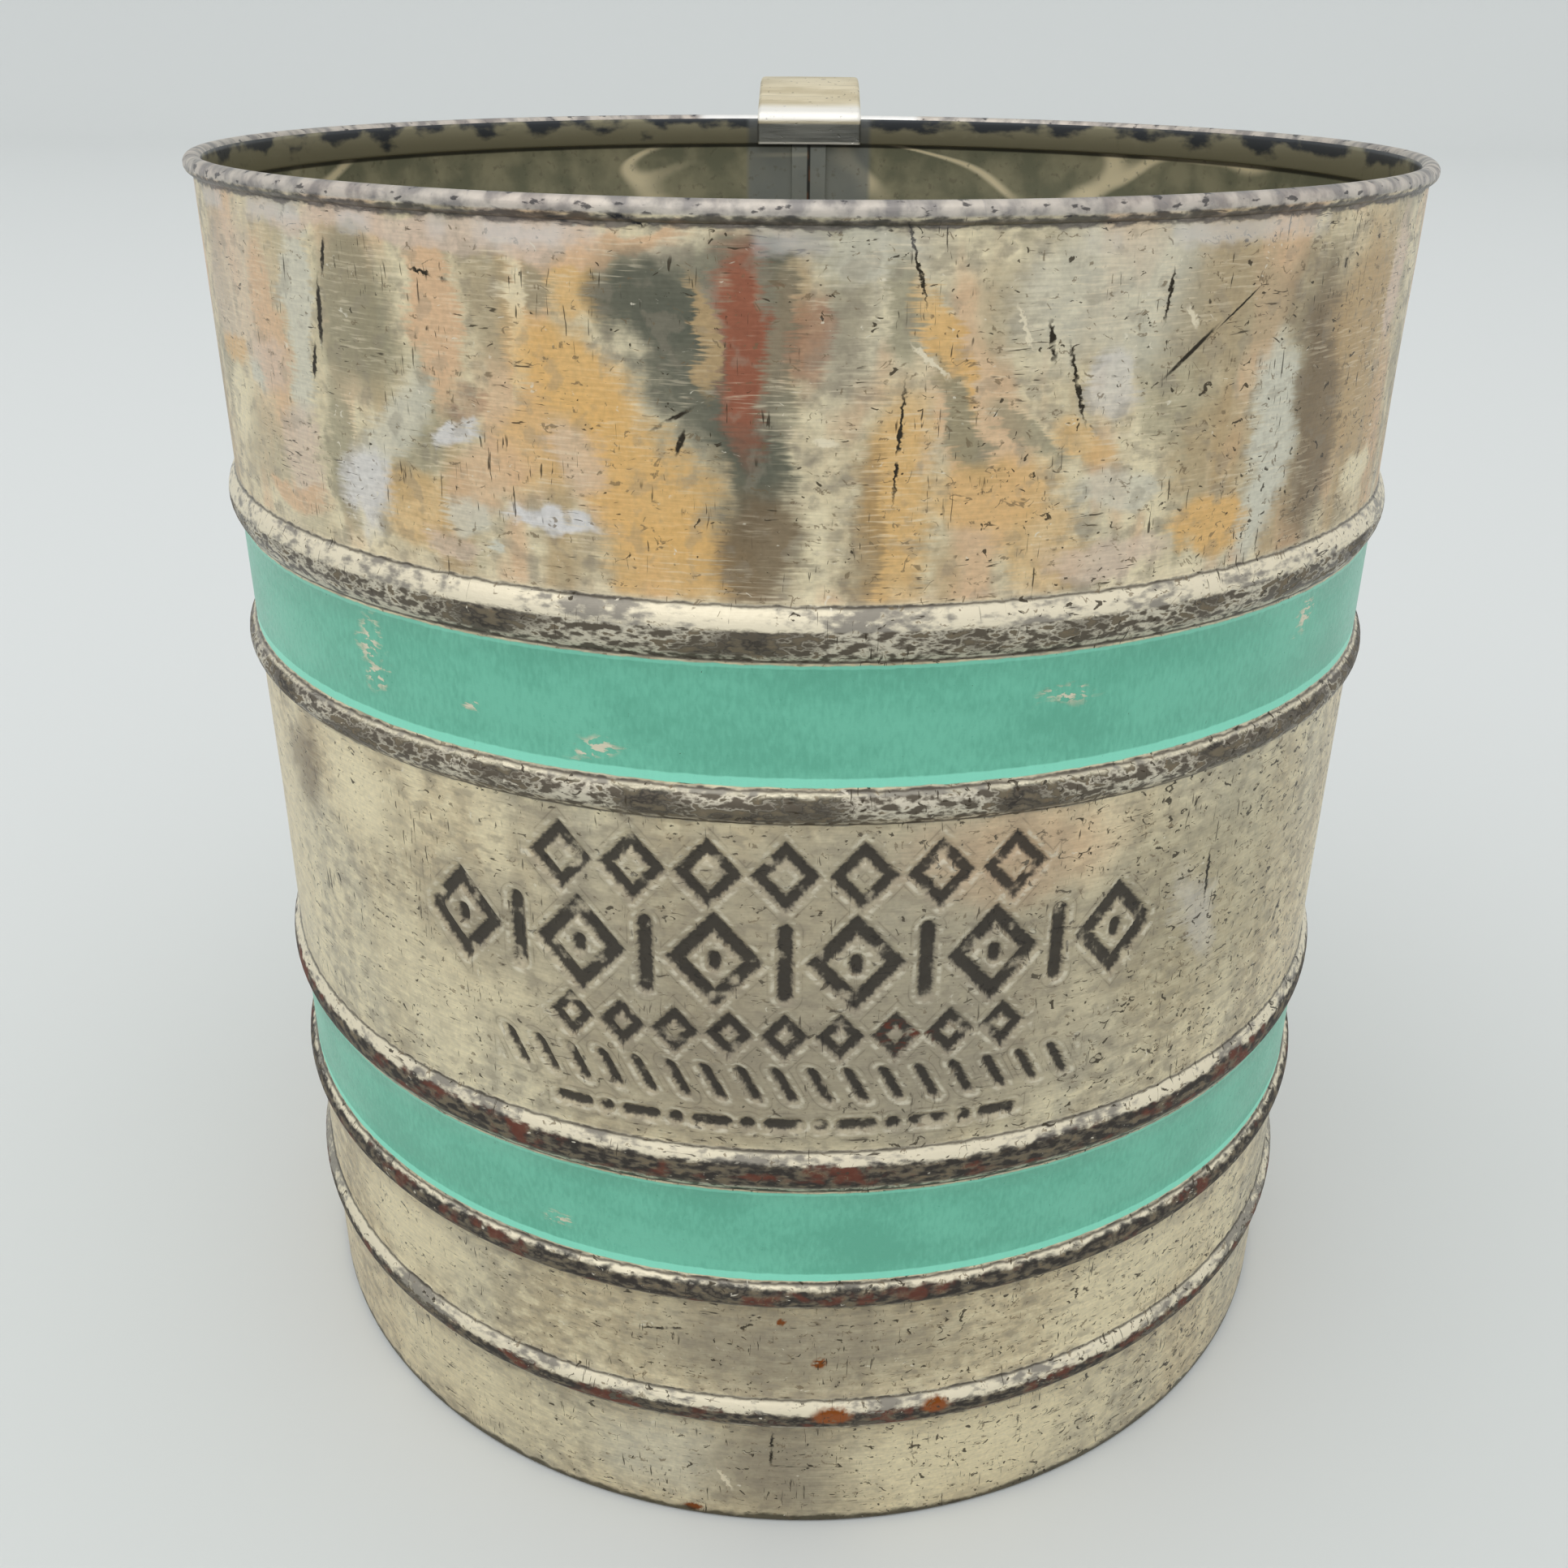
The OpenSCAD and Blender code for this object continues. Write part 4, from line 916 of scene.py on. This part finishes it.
# The woven screens
# Fine tinned wire in a plain weave, each wire passing over and under its neighbours. The disc
# is cut to the fold of its rim, with a hole for the eyelet.
weave_pitch = 0.0016
weave_wire = 0.00014
weave_swing = 0.000145
weave_paint = worn_metal("woven_wire", (168, 165, 152), (104, 98, 84), marks=0.8, size=0.01)
weave_r = ring_r - 0.0011
weave_count = 2 * math.floor(weave_r / weave_pitch)
weave_lays = []
for lay in (0, 1):
    bpy.ops.object.select_all(action="DESELECT")
    bpy.ops.mesh.primitive_grid_add(x_subdivisions=weave_count, y_subdivisions=weave_count,
                                    size=weave_count * weave_pitch, location=(0, 0, 0))
    wires = bpy.context.object
    for corner in wires.data.vertices:
        step = round(corner.co.x / weave_pitch) + round(corner.co.y / weave_pitch) + lay
        corner.co.z = weave_swing * (1 if step % 2 else -1)
    bpy.ops.object.mode_set(mode="EDIT")
    bpy.ops.mesh.select_mode(type="EDGE")
    bpy.ops.mesh.select_all(action="DESELECT")
    bpy.ops.object.mode_set(mode="OBJECT")
    for edge in wires.data.edges:
        a, b = (wires.data.vertices[v].co for v in edge.vertices)
        edge.select = abs((a - b)[lay]) > weave_pitch / 2
    bpy.ops.object.mode_set(mode="EDIT")
    bpy.ops.mesh.delete(type="EDGE_FACE")
    bpy.ops.mesh.select_mode(type="VERT")
    bpy.ops.object.mode_set(mode="OBJECT")
    for corner in wires.data.vertices:
        corner.select = not bore_r + grip < math.hypot(corner.co.x, corner.co.y) < weave_r
    bpy.ops.object.mode_set(mode="EDIT")
    bpy.ops.mesh.delete(type="VERT")
    bpy.ops.object.mode_set(mode="OBJECT")
    bpy.ops.object.convert(target="CURVE")
    wires = bpy.context.object
    wires.data.bevel_depth = weave_wire
    wires.data.bevel_resolution = 0
    wires.data.use_fill_caps = True
    bpy.ops.object.convert(target="MESH")
    weave_lays.append(bpy.context.object)
bpy.ops.object.select_all(action="DESELECT")
for wires in weave_lays:
    wires.select_set(True)
bpy.ops.object.join()
weave = bpy.context.object
bpy.ops.object.shade_smooth()
for level in ("top", "middle", "bottom"):
    bpy.ops.object.select_all(action="DESELECT")
    weave.select_set(True)
    bpy.context.view_layer.objects.active = weave
    if level != "bottom":
        bpy.ops.object.duplicate()
    screen = bpy.context.object
    screen.name = "woven_screen_" + level
    screen.location = (0, axis_y, seat_of("screen_ring_" + level))
    bpy.ops.object.transform_apply(location=True, rotation=True, scale=True)
    put_on(screen, weave_paint)
    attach(screen, "frame")
    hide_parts("screen_mesh_" + level)


# The bridge under the lowest screen
# A flat tin bar across the foot with its ends turned down and soldered to the wall. It
# carries the shaft's lower end.
def softened(node, name, width, segments=2):
    """A copy of a piece of the construction with its edges rounded."""
    bpy.ops.object.select_all(action="DESELECT")
    piece = bpy.data.objects.new(name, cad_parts[node].data.copy())
    bpy.context.scene.collection.objects.link(piece)
    piece.select_set(True)
    bpy.context.view_layer.objects.active = piece
    bpy.ops.object.mode_set(mode="EDIT")
    bpy.ops.mesh.select_all(action="SELECT")
    bpy.ops.mesh.customdata_custom_splitnormals_clear()
    bpy.ops.mesh.remove_doubles(threshold=2e-6)
    bpy.ops.mesh.dissolve_limited(angle_limit=math.radians(1))
    bpy.ops.object.mode_set(mode="OBJECT")
    bevel = piece.modifiers.new("round_edges", "BEVEL")
    bevel.width = width
    bevel.segments = segments
    bevel.limit_method = "ANGLE"
    bevel.angle_limit = math.radians(40)
    bpy.ops.object.modifier_apply(modifier=bevel.name)
    bpy.ops.object.shade_smooth_by_angle(angle=math.radians(35))
    return piece


bar_paint = worn_metal("bridge_tin", (176, 168, 148), (120, 112, 94), along=(3, 1, 1))
bridge_bar = softened("bearing_bridge", "bridge_bar", 0.0002)
put_on(bridge_bar, bar_paint)
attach(bridge_bar, "frame")
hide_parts("bearing_bridge")

# The shaft, its collar and its nut
# A steel rod down the middle of the tin. The collar under the bridge stops it from lifting
# out, and a domed nut holds the crank on its top.
steel_paint = worn_metal("shaft_steel", (150, 149, 144), (96, 93, 86), marks=0.6, along=(1, 1, 3))
for node, name in (("agitator_shaft", "shaft_steel"), ("shaft_collar", "collar_steel"),
                   ("shaft_nut", "nut_tin")):
    piece = softened(node, name, 0.0003)
    put_on(piece, steel_paint)
    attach(piece, "agitator")
    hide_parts(node)
    "bright_tin" if node == "shaft_nut" else "steel_fittings"

# The agitators
# Above each screen a hub carries four tin wings, each with a lip bent down to scrape the
# flour through the weave. They are soldered to the shaft at staggered angles.
wing_paint = worn_metal("agitator_tin", (184, 176, 154), (124, 116, 98), marks=0.6, size=0.008)
for level in ("top", "middle", "bottom"):
    wings = softened("agitator_" + level, "wings_" + level, 0.00015)
    put_on(wings, wing_paint)
    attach(wings, "agitator")
    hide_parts("agitator_" + level)

# The crank arm
# A flat steel arm on the shaft's top. The push rod's bent end works in its slot and turns it.
crank_paint = worn_metal("crank_steel", (158, 156, 150), (104, 100, 92), marks=0.6)
crank_plate = softened("crank_arm", "crank_plate", 0.0002)
put_on(crank_plate, crank_paint)
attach(crank_plate, "agitator")
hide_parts("crank_arm")

# The push rod
# One steel wire from the lever through the wall's slot to the crank, bent sideways inside the
# tin and down into the crank, with its outer end hammered to a flat eye for the pin.
rod_paint = worn_metal("rod_wire", (156, 154, 148), (98, 95, 88), marks=0.6, along=(1, 4, 1))
rod_r = 0.0012
rod_pin_y = (pin_low.y + pin_high.y) / 2
eye_r = 0.0032
eye_half = 0.0013
eye_bore = 0.00145
rod_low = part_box("push_rod")[0]
peg_x = 0.0134
peg_y = axis_y - 0.006
jog_y = axis_y + 0.042
jog_length = 0.020
rod_start = Vector((0, rod_pin_y - eye_r + 0.0004, rod_z))
route = [(0, jog_y, rod_z), (peg_x, jog_y - jog_length, rod_z), (peg_x, peg_y, rod_z),
         (peg_x, peg_y, rod_low.z)]
bpy.ops.object.select_all(action="DESELECT")
bpy.ops.mesh.primitive_circle_add(vertices=3, radius=rod_r)
push_wire = bpy.context.object
push_wire.name = "push_wire"
for corner in push_wire.data.vertices:
    corner.co = rod_start
bpy.ops.object.mode_set(mode="EDIT")
bpy.ops.mesh.select_all(action="SELECT")
bpy.ops.mesh.merge(type="CENTER")
reached = rod_start
for stop in route:
    bpy.ops.mesh.select_mode(type="VERT")
    bpy.ops.mesh.extrude_region_move(TRANSFORM_OT_translate={"value": Vector(stop) - reached})
    reached = Vector(stop)
bpy.ops.mesh.select_all(action="SELECT")
bpy.ops.mesh.bevel(offset=0.0018, segments=6, affect="VERTICES")
bpy.ops.object.mode_set(mode="OBJECT")
bpy.ops.object.convert(target="CURVE")
push_wire = bpy.context.object
push_wire.data.bevel_depth = rod_r
push_wire.data.bevel_resolution = 4
push_wire.data.use_fill_caps = True
bpy.ops.object.convert(target="MESH")
push_wire = bpy.context.object
bpy.ops.object.shade_smooth_by_angle(angle=math.radians(40))
bpy.ops.object.select_all(action="DESELECT")
bpy.ops.mesh.primitive_circle_add(vertices=8, radius=eye_r)
rod_eye = bpy.context.object
eye_section = [(eye_bore, -eye_half * 0.8), (eye_bore + 0.0003, -eye_half), (eye_r - 0.0005, -eye_half),
               (eye_r, -eye_half * 0.6), (eye_r, eye_half * 0.6), (eye_r - 0.0005, eye_half),
               (eye_bore + 0.0003, eye_half), (eye_bore, eye_half * 0.8)]
for corner, (out, side) in zip(rod_eye.data.vertices, eye_section):
    corner.co = (side, rod_pin_y + out, rod_z)
bpy.ops.object.mode_set(mode="EDIT")
bpy.ops.mesh.select_all(action="SELECT")
bpy.ops.mesh.spin(steps=40, angle=2 * math.pi, center=(0, rod_pin_y, rod_z), axis=(1, 0, 0))
bpy.ops.mesh.select_all(action="SELECT")
bpy.ops.mesh.remove_doubles(threshold=1e-6)
bpy.ops.mesh.normals_make_consistent(inside=False)
bpy.ops.object.mode_set(mode="OBJECT")
bpy.ops.object.shade_smooth_by_angle(angle=math.radians(40))
push_wire.select_set(True)
bpy.context.view_layer.objects.active = push_wire
bpy.ops.object.join()
put_on(push_wire, rod_paint)
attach(push_wire, "rod")
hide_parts("push_rod")

# The handle strap
# A strip of bright tin with both edges folded inwards, hooked over the rim and soldered there
# with a tab inside the hem, bowed out to make the handle and riveted to the wall at its foot.
strap_paint, strap_shader, place = finish("strap_tin", roughness=0.4)
strap_box_low, strap_box_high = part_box("handle_strap")
strap_t = 0.0006
strap_w = strap_box_high.x - strap_box_low.x
strap_hem_w = 0.003
strap_back = strap_box_high.y
upper_bend_r = 0.032
lower_bend_r = 0.030
upper_bend = (strap_back - upper_bend_r, strap_box_high.z - upper_bend_r)
foot_h = 0.010
strap_low = strap_box_low.z + foot_h - strap_t
lower_bend = (strap_back - lower_bend_r, strap_low + lower_bend_r)
strap_rise = 16
rim_place = (axis_y + rim_at[0], rim_at[1])
tab_low = rim_at[1] - 0.003
half_w = strap_w / 2
half_section = ([(half_w * 0.45, 0), (half_w - strap_t, 0.00002)]
                + [(x, n) for x, n in arc((half_w - strap_t, strap_t), strap_t, -60, 90, 5)]
                + [(half_w - 0.5 * strap_hem_w, 2.05 * strap_t),
                   (half_w - strap_hem_w + 0.0002, 2 * strap_t),
                   (half_w - strap_hem_w, 1.7 * strap_t), (half_w - strap_hem_w, 1.02 * strap_t),
                   (half_w * 0.3, strap_t)])
section = half_section + [(-x, n) for x, n in reversed(half_section)]
foot_y = axis_y + wall_r + strap_t
bpy.ops.object.select_all(action="DESELECT")
bpy.ops.mesh.primitive_circle_add(vertices=len(section), radius=half_w)
handle = bpy.context.object
handle.name = "handle"
for corner, (x, n) in zip(handle.data.vertices, section):
    corner.co = (x, foot_y - n, strap_box_low.z)


def onwards(y, z, count=1):
    """Carries the strap on by this much, in some even steps."""
    for _ in range(count):
        bpy.ops.mesh.extrude_region_move(TRANSFORM_OT_translate={"value": (0, y / count, z / count)})


def around(y, z, degrees, steps):
    """Bends the strap on about a line across the tin."""
    bpy.ops.mesh.spin(steps=steps, angle=-math.radians(degrees), center=(0, y, z), axis=(1, 0, 0))


rise = math.radians(90 + strap_rise)
rim_bend = rim_r + strap_t
run_start = (upper_bend[0] + upper_bend_r * math.cos(rise), upper_bend[1] + upper_bend_r * math.sin(rise))
run_end = (rim_place[0] + rim_bend * math.cos(rise), rim_place[1] + rim_bend * math.sin(rise))
foot_bend = 0.0006
strap_settle = 0.01
bpy.ops.object.mode_set(mode="EDIT")
bpy.ops.mesh.select_all(action="SELECT")
onwards(0, strap_low - foot_bend - strap_box_low.z, 4)
around(foot_y + foot_bend, strap_low - foot_bend, -90, 6)
onwards(lower_bend[0] - foot_y - foot_bend, 0, 8)
around(*lower_bend, 90, 32)
onwards(0, upper_bend[1] - lower_bend[1], 14)
around(*upper_bend, 90 + strap_rise, 40)
onwards(run_end[0] - run_start[0], run_end[1] - run_start[1], 6)
around(*rim_place, 90 - strap_rise, 10)
onwards(0, tab_low - rim_at[1], 4)
bpy.ops.mesh.select_all(action="SELECT")
bpy.ops.mesh.fill_holes(sides=0)
bpy.ops.mesh.normals_make_consistent(inside=False)
bpy.ops.object.mode_set(mode="OBJECT")
# The strap is squeezed flat where it goes over the rim and at its foot, and takes the wall's curve
for corner in handle.data.vertices:
    across = corner.co.y - rim_place[0]
    above = corner.co.z - rim_place[1]
    far = math.hypot(across, above)
    if across < 0 and above < 0:
        corner.co.y = min(corner.co.y, rim_place[0] - rim_r)
    elif far < rim_r:
        corner.co.y = rim_place[0] + across * rim_r / far
        corner.co.z = rim_place[1] + above * rim_r / far
    elif corner.co.z < strap_low:
        corner.co.y = max(corner.co.y, foot_y - strap_t)
    hug = min(1, max(0, 1 - (corner.co.y - foot_y) / strap_settle))
    corner.co.y += hug * (math.sqrt(wall_r ** 2 - corner.co.x ** 2) - wall_r)
soft_tone = place.grain(0.004, detail=4, along=(3, 1, 1))
tone = soft_tone.from_to(0.35, 0.65).blend(dye(204, 190, 156), dye(230, 218, 188))
brush = place.grain(0.0005, detail=3, along=(22, 0.6, 1), seed=3)
tone = brush.from_to(0.5, 0.3, 0.45).blend(tone, dye(180, 166, 132))
pit = place.grain(0.0008, detail=2, seed=5).from_to(0.66, 0.72, 0.7)
tone = pit.blend(tone, dye(92, 80, 60))
along_y = place.node("ShaderNodeSeparateXYZ", {0: place}, out=1)
up = place.node("ShaderNodeSeparateXYZ", {0: place}, out=2)
# The bend over the rim is painted with a near-white highlight
bend_highlight = up.from_to(rim_place[1] - 0.0002, rim_place[1] + 0.0006)
bend_highlight = bend_highlight * along_y.from_to(rim_place[0] + 0.003, rim_place[0])
tone = (bend_highlight * 0.85).blend(tone, dye(244, 242, 236))
tab = along_y.from_to(rim_place[0], rim_place[0] - 0.0008)
tab = tab * up.from_to(rim_place[1], rim_place[1] - 0.0004)
tab_tone = soft_tone.from_to(0.4, 0.6).blend(dye(114, 115, 109), dye(138, 138, 130))
tone = tab.blend(tone, tab_tone)
tone = (tab * up.from_to(tab_low + 0.0004, tab_low + 0.0002)).blend(tone, dye(206, 202, 190))
coat(strap_shader, colour=tone, roughness=brush * 0.2 + 0.32, bump=brush * 0.3 - pit * 0.5)
strap_shader.inputs["Metallic"].default_value = 0.85
bpy.ops.object.shade_smooth_by_angle(angle=math.radians(40))
put_on(handle, strap_paint)
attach(handle, "frame")
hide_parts("handle_strap")

# The foot's rivets
# Two domed steel rivets through the strap's foot and the wall.
rivet_paint = worn_metal("rivet_steel", (164, 160, 150), (98, 92, 82), marks=0.8, size=0.002)
rivets = softened("foot_rivets", "rivet_heads", 0.0001)
put_on(rivets, rivet_paint)
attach(rivets, "frame")
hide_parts("foot_rivets")

# The lever, its bracket and its pins
# The lever is a folded tin channel with its back to the palm, hung on a pin in a steel clip
# that stands in the handle's lower bend. A second pin joins it to the push rod's eye.
lever_paint = worn_metal("lever_tin", (196, 188, 166), (142, 134, 114), marks=0.5, along=(1, 1, 4))
clip_paint = worn_metal("clip_steel", (160, 157, 148), (108, 103, 94), marks=0.6)
pin_paint = worn_metal("pin_steel", (170, 167, 158), (112, 107, 98), marks=0.5, size=0.002)
for node, name, width, paint, body, slot in (
        ("squeeze_lever", "squeeze_channel", 0.00025, lever_paint, "lever", "bright_tin"),
        ("pivot_bracket", "pivot_clip", 0.0002, clip_paint, "frame", "steel_fittings"),
        ("pivot_pin", "pivot_rivet", 0.0002, pin_paint, "frame", "steel_fittings"),
        ("rod_pin", "rod_rivet", 0.0002, pin_paint, "lever", "steel_fittings"),
        ("spring_post", "post_steel", 0.0003, pin_paint, "frame", "steel_fittings")):
    piece = softened(node, name, width)
    put_on(piece, paint)
    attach(piece, body)
    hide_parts(node)

# The return spring
# Eight turns of spring wire over the post, between the handle and the lever's back, that push
# the lever home when the hand lets go.
spring_paint = worn_metal("spring_wire", (172, 168, 156), (112, 106, 94), marks=0.5, size=0.003)
spring_low, spring_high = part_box("return_spring")
spring_wire = 0.00045
spring_r = (spring_high.x - spring_low.x) / 2 - spring_wire
spring_z = (spring_high.z + spring_low.z) / 2
spring_from = spring_low.y + spring_wire
spring_to = spring_high.y - spring_wire
spring_turns = 8
bpy.ops.object.select_all(action="DESELECT")
bpy.ops.mesh.primitive_circle_add(vertices=3, radius=spring_r)
spring_coil = bpy.context.object
spring_coil.name = "spring_coil"
for corner in spring_coil.data.vertices:
    corner.co = (spring_r, 0, 0)
bpy.ops.object.mode_set(mode="EDIT")
bpy.ops.mesh.select_all(action="SELECT")
bpy.ops.mesh.merge(type="CENTER")
bpy.ops.object.mode_set(mode="OBJECT")
winding = spring_coil.modifiers.new("winding", "SCREW")
winding.axis = "Z"
winding.steps = 24
winding.render_steps = 24
winding.iterations = spring_turns
winding.screw_offset = (spring_to - spring_from) / spring_turns
bpy.ops.object.modifier_apply(modifier=winding.name)
spring_coil.rotation_euler = (math.radians(-90), 0, 0)
spring_coil.location = (0, spring_from, spring_z)
bpy.ops.object.transform_apply(location=True, rotation=True, scale=True)
bpy.ops.object.convert(target="CURVE")
spring_coil = bpy.context.object
spring_coil.data.bevel_depth = spring_wire
spring_coil.data.bevel_resolution = 3
spring_coil.data.use_fill_caps = True
bpy.ops.object.convert(target="MESH")
spring_coil = bpy.context.object
bpy.ops.object.shade_smooth_by_angle(angle=math.radians(50))
put_on(spring_coil, spring_paint)
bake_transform(spring_coil)
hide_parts("return_spring")
